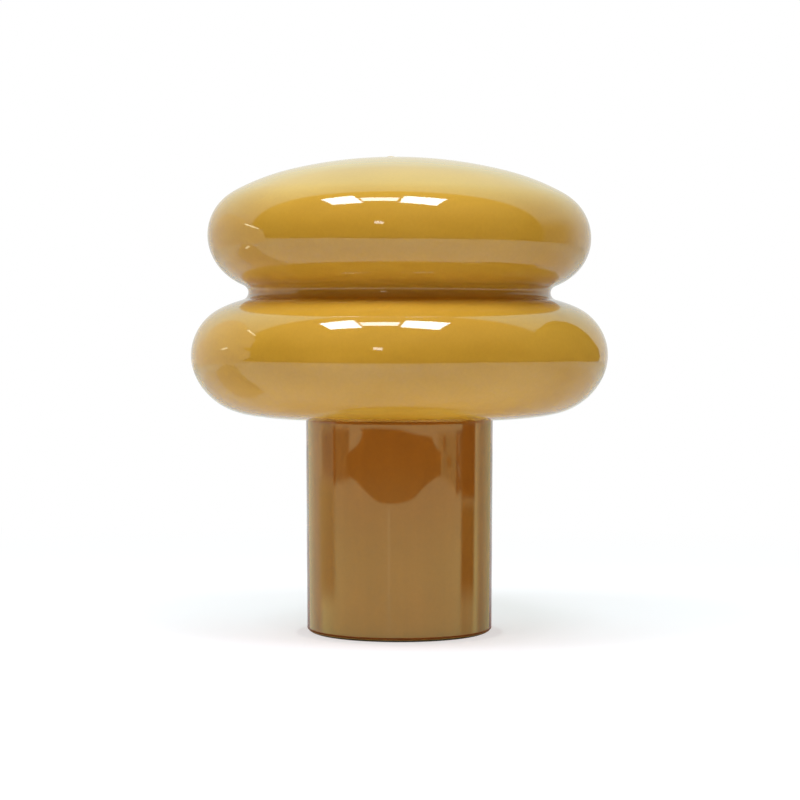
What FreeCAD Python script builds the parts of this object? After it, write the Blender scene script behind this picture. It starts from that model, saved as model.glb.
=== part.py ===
# Glass table lamp: a two-lobed blown glass shade that rests on a straight glass base.
# Millimetres, +Z up. The origin is the centre of the underside, on the table.
# The lamp is round about Z. +Y is the back, where the cord goes in.
import FreeCAD, Part
import Sketcher
import math
import os

doc = FreeCAD.newDocument("glass_table_lamp")
V = FreeCAD.Vector

# ---------------------------------------------------------------- driving dimensions
sheet = doc.addObject("Spreadsheet::Sheet", "dims")
VALUES = {}
ROWS = [
    # foot
    ("pad_radius", 62.0, "foot pad"),
    ("pad_thick", 0.7, "foot pad, lies on the table"),
    ("sheet_steel", 0.8, "pressed steel of the base pan"),
    ("pan_flange_radius", 64.0, "pan flange under the glass rim"),
    ("pan_skirt_radius", 52.0, "outside of the pan's raised middle"),
    ("pan_height", 24.8, "flange underside to top of the raised middle"),
    ("rim_gasket_thick", 0.5, "gasket between flange and glass rim"),
    ("rim_gasket_inner", 62.2, "rim gasket"),
    ("rim_gasket_outer", 65.2, "rim gasket"),
    # glass base
    ("base_glass_height", 151.4, "rim to top face"),
    ("base_foot_radius", 66.4, "outside, at the rim"),
    ("base_top_radius", 67.3, "outside, at the top"),
    ("base_wall", 4.0, "wall and top of the glass base"),
    ("base_shoulder", 0.5, "rounded shoulder at the top edge"),
    ("neck_hole_radius", 15.0, "hole in the top of the glass base"),
    ("inlet_height", 14.0, "axis of the cord inlet above the table"),
    ("inlet_hole_radius", 5.3, "hole in the glass for the inlet bush"),
    ("pan_hole_radius", 6.5, "hole in the pan skirt in line with the inlet"),
    # ballast, rod and nuts
    ("ballast_radius", 58.0, "cast disc on the pan"),
    ("ballast_thick", 12.0, "cast disc on the pan"),
    ("rod_radius", 4.95, "hollow threaded rod, 10 mm with 1 mm pitch"),
    ("rod_bore_radius", 3.5, "way through the rod for the flex"),
    ("rod_bottom", 15.0, "lower end of the rod"),
    ("rod_top", 168.7, "upper end of the rod, in the holder cap"),
    ("rod_clear", 5.1, "bores of what the rod passes"),
    ("nut_flats", 14.0, "across flats of the rod nuts"),
    ("nut_thick", 4.0, "rod nuts"),
    ("lock_washer_radius", 9.0, "toothed washer under the pan"),
    ("lock_washer_thick", 0.8, "toothed washer under the pan"),
    ("ballast_washer_radius", 11.0, "plain washer on the ballast"),
    ("ballast_washer_thick", 1.2, "plain washer on the ballast"),
    # neck: bush, gasket, gallery
    ("bush_radius", 14.6, "bush in the neck hole"),
    ("bush_flange_radius", 22.0, "its flange, on the glass"),
    ("bush_depth", 4.6, "below the flange"),
    ("neck_gasket_thick", 0.8, "gasket under the gallery, and the bush flange"),
    ("neck_gasket_inner", 23.0, "neck gasket"),
    ("neck_gasket_outer", 46.0, "neck gasket"),
    ("gallery_radius", 49.5, "outside of the gallery's upturned rim"),
    ("gallery_thick", 1.5, "gallery"),
    ("gallery_rim_height", 8.5, "gallery"),
    ("seat_ring_thick", 0.7, "soft ring that the shade rests on"),
    ("seat_ring_inner", 51.4, "soft ring"),
    ("seat_ring_outer", 66.6, "soft ring"),
    # shade: a chain of tangent arcs from the top to the mouth; an angle is the span of its arc
    ("shade_wall", 3.0, "glass thickness of the shade"),
    ("mouth_radius", 51.0, "opening in the underside"),
    ("nub_radius", 8.0, "blower's nub on the crown"),
    ("nub_span", 25.0, ""),
    ("nub_hollow_radius", 4.15, ""),
    ("nub_hollow_span", 24.1, ""),
    ("crown_radius", 322.4, "top of the upper lobe"),
    ("crown_span", 14.4, "from the axis"),
    ("crown_edge_span", 13.5, "from the foot of the nub"),
    ("brow_radius", 163.2, ""),
    ("brow_span", 14.3, ""),
    ("shoulder_radius", 42.0, ""),
    ("shoulder_span", 12.6, ""),
    ("side_radius", 35.35, "side of the upper lobe"),
    ("side_span", 93.1, ""),
    ("under_radius", 44.95, "underside of the upper lobe"),
    ("under_span", 24.0, ""),
    ("groove_radius", 5.25, "groove between the lobes"),
    ("groove_span", 143.3, ""),
    ("low_brow_radius", 94.0, "top of the lower lobe"),
    ("low_brow_span", 9.9, ""),
    ("low_shoulder_radius", 38.15, ""),
    ("low_shoulder_span", 51.2, ""),
    ("low_side_radius", 36.1, "side of the lower lobe"),
    ("low_side_span", 40.9, ""),
    ("low_under_radius", 48.3, ""),
    ("low_under_span", 51.3, ""),
    ("floor_radius", 162.15, "almost flat underside"),
    ("floor_span", 11.6, ""),
    # lamp holder, E27
    ("holder_radius", 21.0, "outside of the lamp holder"),
    ("holder_wall", 1.6, "moulded walls"),
    ("cap_neck_radius", 8.5, "threaded neck of the holder cap"),
    ("cap_height", 24.0, "holder cap"),
    ("core_radius", 17.6, "insulating core"),
    ("core_height", 13.5, "insulating core"),
    ("core_bottom", 176.1, "underside of the core above the table"),
    ("core_recess_radius", 11.6, "well for the centre contact"),
    ("core_recess_depth", 3.0, ""),
    ("shell_radius", 13.35, "inside of the screw shell"),
    ("shell_thick", 0.4, "brass strip"),
    ("shell_height", 18.0, "screw shell"),
    ("sleeve_height", 31.5, "outer sleeve, with its spigot"),
    ("sleeve_spigot", 4.0, "spigot inside the cap"),
    ("sleeve_lip_radius", 15.2, "mouth of the sleeve"),
    ("contact_thick", 0.5, "centre contact tongue"),
    ("contact_width", 6.0, ""),
    ("contact_length", 17.0, ""),
    ("terminal_offset", 9.5, "terminals from the axis"),
    # cord inlet
    ("inlet_bore_radius", 3.5, "for a 6 to 6.8 mm round flex"),
    ("inlet_body_radius", 5.0, ""),
    ("inlet_flange_radius", 7.5, ""),
    ("inlet_flange_thick", 2.0, ""),
    ("inlet_body_length", 11.0, ""),
    ("inlet_nut_thick", 3.5, ""),
    ("inlet_flange_face", 66.6, "inner face of the flange from the axis"),
    # bulb, A60 with an E27 cap
    ("bulb_tip", 187.15, "lowest point of the bulb above the table"),
    ("bulb_radius", 30.0, "envelope"),
    ("bulb_globe_span", 122.0, "envelope, round part"),
    ("bulb_neck_radius", 78.0, "envelope, waist"),
    ("bulb_neck_span", 28.0, ""),
    ("bulb_height", 106.0, "tip to crown"),
    ("bulb_wall", 0.8, "envelope"),
    ("bulb_thread_crest", 13.05, "E27 cap, crest radius"),
    ("bulb_thread_root", 12.1, "E27 cap, root radius"),
    ("bulb_pitch", 3.629, "E27 thread pitch"),
    ("filament_radius", 1.0, ""),
    ("filament_length", 36.0, ""),
    ("filament_circle", 8.5, "filaments from the axis"),
]
sheet.set("A1", "name")
sheet.set("B1", "value")
sheet.set("C1", "what it sizes")
for i, (name, value, note) in enumerate(ROWS, 2):
    sheet.set("A%d" % i, name)
    sheet.set("B%d" % i, repr(value))
    sheet.setAlias("B%d" % i, name)
    sheet.set("C%d" % i, note or name)
    VALUES[name] = value
doc.recompute()


class Size:
    """A number with the sheet expression that gives it."""

    def __init__(self, value, text):
        self.value, self.text = value, text

    def __add__(self, other):
        other = size(other)
        return Size(self.value + other.value, "(%s + %s)" % (self.text, other.text))

    def __sub__(self, other):
        other = size(other)
        return Size(self.value - other.value, "(%s - %s)" % (self.text, other.text))

    def __mul__(self, other):
        other = size(other)
        return Size(self.value * other.value, "(%s * %s)" % (self.text, other.text))

    def __truediv__(self, other):
        other = size(other)
        return Size(self.value / other.value, "(%s / %s)" % (self.text, other.text))

    def __neg__(self):
        return Size(-self.value, "(0 - %s)" % self.text)

    __radd__ = __add__


def size(x):
    return x if isinstance(x, Size) else Size(float(x), repr(float(x)))


def d(name):
    return Size(VALUES[name], "dims." + name)


NODES = []


def new_body(label):
    body = doc.addObject("PartDesign::Body", label)
    body.Label = label
    NODES.append(body)
    return body


def place(obj, x=0.0, y=0.0, z=0.0, rotation=None):
    """Puts a sub-part in the lamp's frame, with its offsets bound to the sheet."""
    x, y, z = size(x), size(y), size(z)
    obj.Placement = FreeCAD.Placement(V(x.value, y.value, z.value), rotation or FreeCAD.Rotation())
    for axis, s in (("x", x), ("y", y), ("z", z)):
        if "dims." in s.text:
            obj.setExpression("Placement.Base." + axis, s.text)
    return obj


def new_sketch(body, name, role="XZ_Plane"):
    sk = body.newObject("Sketcher::SketchObject", name)
    plane = [f for f in body.Origin.OriginFeatures if f.Role == role][0]
    sk.AttachmentSupport = [(plane, "")]
    sk.MapMode = "FlatFace"
    return sk


def bind(sk, kind, args, s):
    """Adds a dimension and ties it to the sheet."""
    s = size(s)
    value = math.radians(s.value) if kind == "Angle" else s.value
    index = sk.addConstraint(Sketcher.Constraint(kind, *args, value))
    if "dims." in s.text:
        sk.setExpression("Constraints[%d]" % index, s.text)
    return index


def pin_point(sk, geo, pos, x, y):
    """Fixes a sketch point at x, y from the sketch's origin."""
    x, y = size(x), size(y)
    if abs(x.value) < 1e-9:
        sk.addConstraint(Sketcher.Constraint("PointOnObject", geo, pos, -2))
    else:
        bind(sk, "DistanceX", (geo, pos), x)
    if abs(y.value) < 1e-9:
        sk.addConstraint(Sketcher.Constraint("PointOnObject", geo, pos, -1))
    else:
        bind(sk, "DistanceY", (geo, pos), y)


def polygon(sk, points):
    """A closed outline whose corners are all bound to the sheet."""
    pts = [(size(a), size(b)) for a, b in points]
    first = sk.GeometryCount
    n = len(pts)
    for i in range(n):
        a, b = pts[i], pts[(i + 1) % n]
        sk.addGeometry(Part.LineSegment(V(a[0].value, a[1].value, 0), V(b[0].value, b[1].value, 0)), False)
    for i in range(n):
        sk.addConstraint(Sketcher.Constraint("Coincident", first + i, 2, first + (i + 1) % n, 1))
    for i in range(n):
        pin_point(sk, first + i, 1, *pts[i])


def circle(sk, x, y, radius):
    x, y, radius = size(x), size(y), size(radius)
    g = sk.addGeometry(Part.Circle(V(x.value, y.value, 0), V(0, 0, 1), radius.value), False)
    pin_point(sk, g, 3, x, y)
    bind(sk, "Radius", (g,), radius)
    return g


def arc_chain(sk, z_end, arcs):
    """Tangent arcs from the axis outwards and down, each (radius, span, +1 convex or -1 concave).

    The chain starts level on the axis, and its height comes from its lower end, z_end. Returns the
    sketch geometry and which end of it is which: (first, its axis end, last, its free end, start)."""
    x, z, a = 0.0, 0.0, 0.0
    made = []
    for radius, span, sign in arcs:
        radius, span = size(radius), size(span)
        b = a + sign * math.radians(span.value)
        cx, cz = x - sign * radius.value * math.sin(a), z - sign * radius.value * math.cos(a)
        nx, nz = cx + sign * radius.value * math.sin(b), cz + sign * radius.value * math.cos(b)
        made.append([cx, cz, radius, span, sign, a, b])
        x, z, a = nx, nz, b
    lift = size(z_end).value - z
    ids = []
    for cx, cz, radius, span, sign, a, b in made:
        if sign > 0:
            t0, t1 = math.pi / 2 - b, math.pi / 2 - a
        else:
            t0, t1 = 1.5 * math.pi - a, 1.5 * math.pi - b
        g = sk.addGeometry(Part.ArcOfCircle(Part.Circle(V(cx, cz + lift, 0), V(0, 0, 1), radius.value), t0, t1), False)
        ids.append((g, 2 if sign > 0 else 1, 1 if sign > 0 else 2))  # geometry, where it begins, where it ends
    for (g0, _, e0), (g1, s1, _) in zip(ids, ids[1:]):
        sk.addConstraint(Sketcher.Constraint("Tangent", g0, e0, g1, s1))
    g, s, _ = ids[0]
    sk.addConstraint(Sketcher.Constraint("PointOnObject", g, s, -2))
    sk.addConstraint(Sketcher.Constraint("PointOnObject", g, 3, -2))
    for (g, _, _), (_, _, radius, span, _, _, _) in zip(ids, made):
        bind(sk, "Radius", (g,), radius)
        bind(sk, "Angle", (g,), span)
    g, _, e = ids[-1]
    if abs(size(z_end).value) < 1e-9:
        sk.addConstraint(Sketcher.Constraint("PointOnObject", g, e, -1))
    else:
        bind(sk, "DistanceY", (g, e), z_end)
    return ids[0][0], ids[0][1], g, e, V(0, lift, 0), V(x, z + lift, 0)


def revolve(body, sk, name="revolution"):
    f = body.newObject("PartDesign::Revolution", name)
    f.Profile = sk
    f.ReferenceAxis = (sk, ["V_Axis"])
    f.Angle = 360.0
    sk.Visibility = False
    doc.recompute()
    return f


def turned(label, points, **at):
    """A round piece from the half outline of its section."""
    body = new_body(label)
    sk = new_sketch(body, "section")
    polygon(sk, points)
    revolve(body, sk)
    place(body, **at)
    return body


def ring_edges(feature, wanted):
    names = []
    for r, z in wanted:
        hits = [
            "Edge%d" % (i + 1)
            for i, e in enumerate(feature.Shape.Edges)
            if not e.Degenerated and isinstance(e.Curve, Part.Circle) and abs(e.Curve.Radius - r) < 2e-3 and abs(e.Curve.Center.z - z) < 2e-3
        ]
        if not hits:
            raise RuntimeError("%s has no round edge at r %.3f z %.3f" % (feature.Label, r, z))
        names += hits
    return names


def rounded(body, wanted, radius, name="rounding"):
    """Rounds the circular edges at (radius, height) of the body's tip."""
    base = body.Tip
    f = body.newObject("PartDesign::Fillet", name)
    f.Base = (base, ring_edges(base, [(size(r).value, size(z).value) for r, z in wanted]))
    s = size(radius)
    f.Radius = s.value
    if "dims." in s.text:
        f.setExpression("Radius", s.text)
    doc.recompute()
    return f


def cut_to_back(body, sk, reach, probe, name="hole"):
    """Pockets a sketch of the XZ plane towards +Y only, as far as reach."""
    before = body.Tip.Shape.Volume
    f = body.newObject("PartDesign::Pocket", name)
    f.Profile = sk
    f.Type = 0
    s = size(reach)
    f.Length = s.value
    if "dims." in s.text:
        f.setExpression("Length", s.text)
    sk.Visibility = False
    doc.recompute()
    if f.Shape.isInside(probe, 1e-4, True):
        f.Reversed = True
        doc.recompute()
    if f.Shape.Volume > before - 1.0 or f.Shape.isInside(probe, 1e-4, True):
        raise RuntimeError("%s: the hole was not cut" % body.Label)
    return f


def hex_nut(label, flats, thick, bore, rotation=None, **at):
    """A hexagon nut with its corners turned off at both faces."""
    flats, thick, bore = size(flats), size(thick), size(bore)
    body = new_body(label)
    sk = new_sketch(body, "hexagon", "XY_Plane")
    corner = flats / math.sqrt(3.0)
    polygon(sk, [(corner * round(math.cos(math.radians(60 * k)), 12), corner * round(math.sin(math.radians(60 * k)), 12)) for k in range(6)])
    circle(sk, 0, 0, bore)
    pad = body.newObject("PartDesign::Pad", "pad")
    pad.Profile = sk
    pad.Length = thick.value
    pad.setExpression("Length", thick.text)
    sk.Visibility = False
    doc.recompute()
    full = pad.Shape.Volume
    cs = new_sketch(body, "corners")
    polygon(cs, [(flats * 0.5, 0), (flats * 0.62, 0), (flats * 0.62, flats * 0.07)])
    polygon(cs, [(flats * 0.5, thick), (flats * 0.62, thick), (flats * 0.62, thick - flats * 0.07)])
    g = body.newObject("PartDesign::Groove", "corner_turning")
    g.Profile = cs
    g.ReferenceAxis = (cs, ["V_Axis"])
    g.Angle = 360.0
    cs.Visibility = False
    doc.recompute()
    if not g.Shape.Volume < full - 0.5:
        raise RuntimeError("%s: the corners were not turned" % label)
    place(body, rotation=rotation, **at)
    return body


# ---------------------------------------------------------------- levels, all from the sheet
flange_top = d("pad_thick") + d("sheet_steel")
glass_foot = flange_top + d("rim_gasket_thick")
glass_top = glass_foot + d("base_glass_height")
pan_top = d("pad_thick") + d("pan_height")
gallery_floor = glass_top + d("neck_gasket_thick")
gallery_top = gallery_floor + d("gallery_thick")
cap_foot = gallery_top + d("nut_thick")
seat = glass_top + d("seat_ring_thick")
cap_rim = cap_foot + d("cap_height")
core_top = d("core_bottom") + d("core_height")

# ---------------------------------------------------------------- foot
turned("foot_pad", [(0, 0), (d("pad_radius"), 0), (d("pad_radius"), d("pad_thick")), (0, d("pad_thick"))])

# Pressed steel pan: a thin flange under the glass rim, and a raised middle that leaves room for the
# rod's nut and for the flex, which turns up into the rod there.
pan = turned(
    "base_pan",
    [
        (d("pan_skirt_radius") - d("sheet_steel"), 0),
        (d("pan_flange_radius"), 0),
        (d("pan_flange_radius"), d("sheet_steel")),
        (d("pan_skirt_radius"), d("sheet_steel")),
        (d("pan_skirt_radius"), d("pan_height")),
        (d("rod_clear"), d("pan_height")),
        (d("rod_clear"), d("pan_height") - d("sheet_steel")),
        (d("pan_skirt_radius") - d("sheet_steel"), d("pan_height") - d("sheet_steel")),
    ],
    z=d("pad_thick"),
)
rounded(pan, [(d("pan_skirt_radius"), d("pan_height"))], 2.0, "outer_bend")
rounded(pan, [(d("pan_skirt_radius") - d("sheet_steel"), d("pan_height") - d("sheet_steel"))], 1.2, "inner_bend")
hole = new_sketch(pan, "flex_hole")
circle(hole, 0, d("inlet_height") - d("pad_thick"), d("pan_hole_radius"))
cut_to_back(
    pan, hole, d("pan_flange_radius"),
    V(0, VALUES["pan_skirt_radius"] - VALUES["sheet_steel"] / 2, VALUES["inlet_height"] - VALUES["pad_thick"]), "flex_way",
)

turned(
    "rim_gasket",
    [
        (d("rim_gasket_inner"), 0),
        (d("rim_gasket_outer"), 0),
        (d("rim_gasket_outer"), d("rim_gasket_thick")),
        (d("rim_gasket_inner"), d("rim_gasket_thick")),
    ],
    z=flange_top,
)

# ---------------------------------------------------------------- glass base
base_glass = turned(
    "base_glass",
    [
        (d("base_foot_radius") - d("base_wall"), 0),
        (d("base_foot_radius"), 0),
        (d("base_top_radius"), d("base_glass_height")),
        (d("neck_hole_radius"), d("base_glass_height")),
        (d("neck_hole_radius"), d("base_glass_height") - d("base_wall")),
        (d("base_top_radius") - d("base_wall"), d("base_glass_height") - d("base_wall")),
    ],
    z=glass_foot,
)
rounded(base_glass, [(d("base_top_radius"), d("base_glass_height"))], d("base_shoulder"), "shoulder")
rounded(
    base_glass,
    [(d("base_top_radius") - d("base_wall"), d("base_glass_height") - d("base_wall"))],
    3.0,
    "inner_corner",
)
rounded(base_glass, [(d("base_foot_radius"), 0)], 1.5, "foot_edge")
rounded(base_glass, [(d("base_foot_radius") - d("base_wall"), 0)], 0.8, "inner_foot_edge")
rounded(
    base_glass,
    [(d("neck_hole_radius"), d("base_glass_height")), (d("neck_hole_radius"), d("base_glass_height") - d("base_wall"))],
    0.8,
    "neck_edges",
)
hole = new_sketch(base_glass, "inlet_hole")
circle(hole, 0, d("inlet_height") - glass_foot, d("inlet_hole_radius"))
cut_to_back(
    base_glass, hole, d("base_top_radius") + 5.0,
    V(0, VALUES["base_foot_radius"] - VALUES["base_wall"] / 2, VALUES["inlet_height"] - glass_foot.value), "inlet_way",
)

# ---------------------------------------------------------------- ballast, rod and nuts
ballast = turned(
    "ballast_weight",
    [
        (d("rod_clear"), 0),
        (d("ballast_radius"), 0),
        (d("ballast_radius"), d("ballast_thick")),
        (d("rod_clear"), d("ballast_thick")),
    ],
    z=pan_top,
)
rounded(ballast, [(d("ballast_radius"), 0), (d("ballast_radius"), d("ballast_thick"))], 1.5)

turned(
    "stem_rod",
    [
        (d("rod_bore_radius"), 0),
        (d("rod_radius") - 0.5, 0),
        (d("rod_radius"), 0.5),
        (d("rod_radius"), d("rod_top") - d("rod_bottom") - 0.5),
        (d("rod_radius") - 0.5, d("rod_top") - d("rod_bottom")),
        (d("rod_bore_radius"), d("rod_top") - d("rod_bottom")),
    ],
    z=d("rod_bottom"),
)

# Toothed lock washer: a disc with notches all round.
body = new_body("rod_lock_washer")
sk = new_sketch(body, "disc", "XY_Plane")
circle(sk, 0, 0, d("lock_washer_radius"))
circle(sk, 0, 0, d("rod_clear"))
pad = body.newObject("PartDesign::Pad", "pad")
pad.Profile = sk
pad.setExpression("Length", "dims.lock_washer_thick")
doc.recompute()
sk = new_sketch(body, "notch", "XY_Plane")
polygon(
    sk,
    [
        (d("lock_washer_radius") - 2.0, -0.45),
        (d("lock_washer_radius") + 1.0, -0.6),
        (d("lock_washer_radius") + 1.0, 0.6),
        (d("lock_washer_radius") - 2.0, 0.45),
    ],
)
notch = body.newObject("PartDesign::Pocket", "notch_cut")
notch.Profile = sk
notch.Type = 1
notch.Midplane = True
doc.recompute()
pattern = body.newObject("PartDesign::PolarPattern", "notches")
pattern.Originals = [notch]
pattern.Axis = (sk, ["N_Axis"])
pattern.Angle = 360.0
pattern.Occurrences = 12
body.Tip = pattern
doc.recompute()
if not pattern.Shape.Volume < pad.Shape.Volume - 11 * (pad.Shape.Volume - notch.Shape.Volume):
    raise RuntimeError("the lock washer's notches were not cut")
place(body, z=pan_top - d("sheet_steel") - d("lock_washer_thick"))

hex_nut("rod_foot_nut", d("nut_flats"), d("nut_thick"), d("rod_radius") + 0.05, z=pan_top - d("sheet_steel") - d("lock_washer_thick") - d("nut_thick"))

turned(
    "ballast_washer",
    [
        (d("rod_clear"), 0),
        (d("ballast_washer_radius"), 0),
        (d("ballast_washer_radius"), d("ballast_washer_thick")),
        (d("rod_clear"), d("ballast_washer_thick")),
    ],
    z=pan_top + d("ballast_thick"),
)
hex_nut("ballast_nut", d("nut_flats"), d("nut_thick"), d("rod_radius") + 0.05, z=pan_top + d("ballast_thick") + d("ballast_washer_thick"))

# ---------------------------------------------------------------- neck
turned(
    "neck_bush",
    [
        (d("rod_clear"), 0),
        (d("bush_radius"), 0),
        (d("bush_radius"), d("bush_depth")),
        (d("bush_flange_radius"), d("bush_depth")),
        (d("bush_flange_radius"), d("bush_depth") + d("neck_gasket_thick")),
        (d("rod_clear"), d("bush_depth") + d("neck_gasket_thick")),
    ],
    z=glass_top - d("bush_depth"),
)
turned(
    "neck_gasket",
    [
        (d("neck_gasket_inner"), 0),
        (d("neck_gasket_outer"), 0),
        (d("neck_gasket_outer"), d("neck_gasket_thick")),
        (d("neck_gasket_inner"), d("neck_gasket_thick")),
    ],
    z=glass_top,
)
gallery = turned(
    "shade_gallery",
    [
        (d("rod_clear"), 0),
        (d("gallery_radius"), 0),
        (d("gallery_radius"), d("gallery_rim_height")),
        (d("gallery_radius") - d("gallery_thick"), d("gallery_rim_height")),
        (d("gallery_radius") - d("gallery_thick"), d("gallery_thick")),
        (d("rod_clear"), d("gallery_thick")),
    ],
    z=gallery_floor,
)
rounded(gallery, [(d("gallery_radius"), 0)], 2.5, "outer_bend")
rounded(gallery, [(d("gallery_radius") - d("gallery_thick"), d("gallery_thick"))], 1.0, "inner_bend")
rounded(
    gallery,
    [(d("gallery_radius"), d("gallery_rim_height")), (d("gallery_radius") - d("gallery_thick"), d("gallery_rim_height"))],
    0.6,
    "lip",
)
hex_nut("gallery_nut", d("nut_flats"), d("nut_thick"), d("rod_radius") + 0.05, z=gallery_top)
turned(
    "shade_seat_ring",
    [
        (d("seat_ring_inner"), 0),
        (d("seat_ring_outer"), 0),
        (d("seat_ring_outer"), d("seat_ring_thick")),
        (d("seat_ring_inner"), d("seat_ring_thick")),
    ],
    z=glass_top,
)

# ---------------------------------------------------------------- shade
# The outside and the inside are two chains of tangent arcs about the same centres, one wall apart.
shade = new_body("shade_glass")
sk = new_sketch(shade, "section")
wall = d("shade_wall")
LOBES = [
    ("brow_radius", "brow_span", 1),
    ("shoulder_radius", "shoulder_span", 1),
    ("side_radius", "side_span", 1),
    ("under_radius", "under_span", 1),
    ("groove_radius", "groove_span", -1),
    ("low_brow_radius", "low_brow_span", 1),
    ("low_shoulder_radius", "low_shoulder_span", 1),
    ("low_side_radius", "low_side_span", 1),
    ("low_under_radius", "low_under_span", 1),
    ("floor_radius", "floor_span", 1),
]
outer = [(d("nub_radius"), d("nub_span"), 1), (d("nub_hollow_radius"), d("nub_hollow_span"), -1), (d("crown_radius"), d("crown_edge_span"), 1)]
outer += [(d(r), d(a), s) for r, a, s in LOBES]
inner = [(d("crown_radius") - wall, d("crown_span"), 1)]
inner += [(d(r) - wall if s > 0 else d(r) + wall, d(a), s) for r, a, s in LOBES]
g_out, p_out, last_out, e_out, top_out, end_out = arc_chain(sk, 0, outer)
g_in, p_in, last_in, e_in, top_in, end_in = arc_chain(sk, wall, inner)
mouth = d("mouth_radius")
under = sk.addGeometry(Part.LineSegment(end_out, V(mouth.value, 0, 0)), False)
rim = sk.addGeometry(Part.LineSegment(V(mouth.value, 0, 0), V(mouth.value, wall.value, 0)), False)
over = sk.addGeometry(Part.LineSegment(V(mouth.value, wall.value, 0), end_in), False)
spine = sk.addGeometry(Part.LineSegment(top_in, top_out), False)
C = Sketcher.Constraint
sk.addConstraint(C("Coincident", last_out, e_out, under, 1))
sk.addConstraint(C("Coincident", under, 2, rim, 1))
sk.addConstraint(C("Coincident", rim, 2, over, 1))
sk.addConstraint(C("Coincident", over, 2, last_in, e_in))
sk.addConstraint(C("Coincident", spine, 1, g_in, p_in))
sk.addConstraint(C("Coincident", spine, 2, g_out, p_out))
sk.addConstraint(C("Horizontal", under))
sk.addConstraint(C("Vertical", rim))
sk.addConstraint(C("Horizontal", over))
bind(sk, "DistanceX", (under, 2), mouth)
doc.recompute()
print("shade section: free", sk.solve(), "conflicting", list(sk.ConflictingConstraints), "redundant", list(sk.RedundantConstraints))
revolve(shade, sk)
rounded(shade, [(mouth, 0), (mouth, wall)], 1.2, "polished_rim")
place(shade, z=seat)

# ---------------------------------------------------------------- lamp holder
holder_cap = turned(
    "holder_cap",
    [
        (d("rod_clear"), 0),
        (d("cap_neck_radius"), 0),
        (d("cap_neck_radius"), 7),
        (d("holder_radius") - 0.5, 14),
        (d("holder_radius"), d("cap_height")),
        (d("holder_radius") - d("holder_wall"), d("cap_height")),
        (d("holder_radius") - d("holder_wall") - 0.4, 15),
        (d("cap_neck_radius") + 0.5, 9),
        (d("rod_clear"), 9),
    ],
    z=cap_foot,
)
rounded(holder_cap, [(d("holder_radius") - 0.5, 14), (d("cap_neck_radius"), 7)], 2.0, "shoulders")

turned(
    "holder_core",
    [
        (0, 0),
        (d("core_radius"), 0),
        (d("core_radius"), d("core_height")),
        (d("core_recess_radius"), d("core_height")),
        (d("core_recess_radius"), d("core_height") - d("core_recess_depth")),
        (0, d("core_height") - d("core_recess_depth")),
    ],
    z=d("core_bottom"),
)

turned(
    "holder_screw_shell",
    [
        (d("shell_radius"), 0),
        (17.0, 0),
        (17.0, d("shell_thick")),
        (d("shell_radius") + d("shell_thick"), d("shell_thick")),
        (d("shell_radius") + d("shell_thick"), d("shell_height")),
        (d("shell_radius"), d("shell_height")),
    ],
    z=core_top,
)

sleeve = turned(
    "holder_sleeve",
    [
        (d("core_radius") + 0.3, 0),
        (d("holder_radius") - d("holder_wall") - 0.3, 0),
        (d("holder_radius") - d("holder_wall") - 0.3, d("sleeve_spigot")),
        (d("holder_radius"), d("sleeve_spigot")),
        (d("holder_radius"), d("sleeve_height")),
        (d("sleeve_lip_radius"), d("sleeve_height")),
        (d("sleeve_lip_radius"), d("sleeve_height") - 1.6),
        (d("core_radius") + 0.3, d("sleeve_height") - 3.0),
    ],
    z=cap_rim - d("sleeve_spigot"),
)
rounded(sleeve, [(d("holder_radius"), d("sleeve_height"))], 1.5, "edge")
gs = new_sketch(sleeve, "grip_grooves")
for level in (10.0, 14.0, 18.0):
    polygon(gs, [(d("holder_radius") - 0.7, level), (d("holder_radius") + 1.0, level - 1.0), (d("holder_radius") + 1.0, level + 1.6), (d("holder_radius") - 0.7, level + 0.6)])
before = sleeve.Tip.Shape.Volume
groove = sleeve.newObject("PartDesign::Groove", "grooves")
groove.Profile = gs
groove.ReferenceAxis = (gs, ["V_Axis"])
groove.Angle = 360.0
doc.recompute()
if not groove.Shape.Volume < before - 10:
    raise RuntimeError("the sleeve's grooves were not cut")

# Centre contact: a tongue in the core's well, with a raised button under the bulb's tip.
tongue = doc.addObject("Part::Box", "contact_tongue")
tongue.setExpression("Length", "dims.contact_length")
tongue.setExpression("Width", "dims.contact_width")
tongue.setExpression("Height", "dims.contact_thick")
tongue.Placement = FreeCAD.Placement(V(-VALUES["contact_length"] / 2, -VALUES["contact_width"] / 2, 0), FreeCAD.Rotation())
tongue.setExpression("Placement.Base.x", "-dims.contact_length / 2")
tongue.setExpression("Placement.Base.y", "-dims.contact_width / 2")
doc.recompute()
contact = doc.addObject("Part::Fillet", "holder_centre_contact")
contact.Base = tongue
contact.Edges = [
    (i + 1, 1.5, 1.5)
    for i, e in enumerate(tongue.Shape.Edges)
    if abs(e.Vertexes[0].Point.z - e.Vertexes[1].Point.z) > 0.1
]
contact.Label = "holder_centre_contact"
NODES.append(contact)
doc.recompute()
place(contact, z=core_top - d("core_recess_depth"))


def pair(label, solids):
    """Two equal pieces, one on each side, in one node."""
    group = doc.addObject("Part::Compound", label)
    group.Links = solids
    group.Label = label
    NODES.append(group)
    doc.recompute()
    return group


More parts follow.
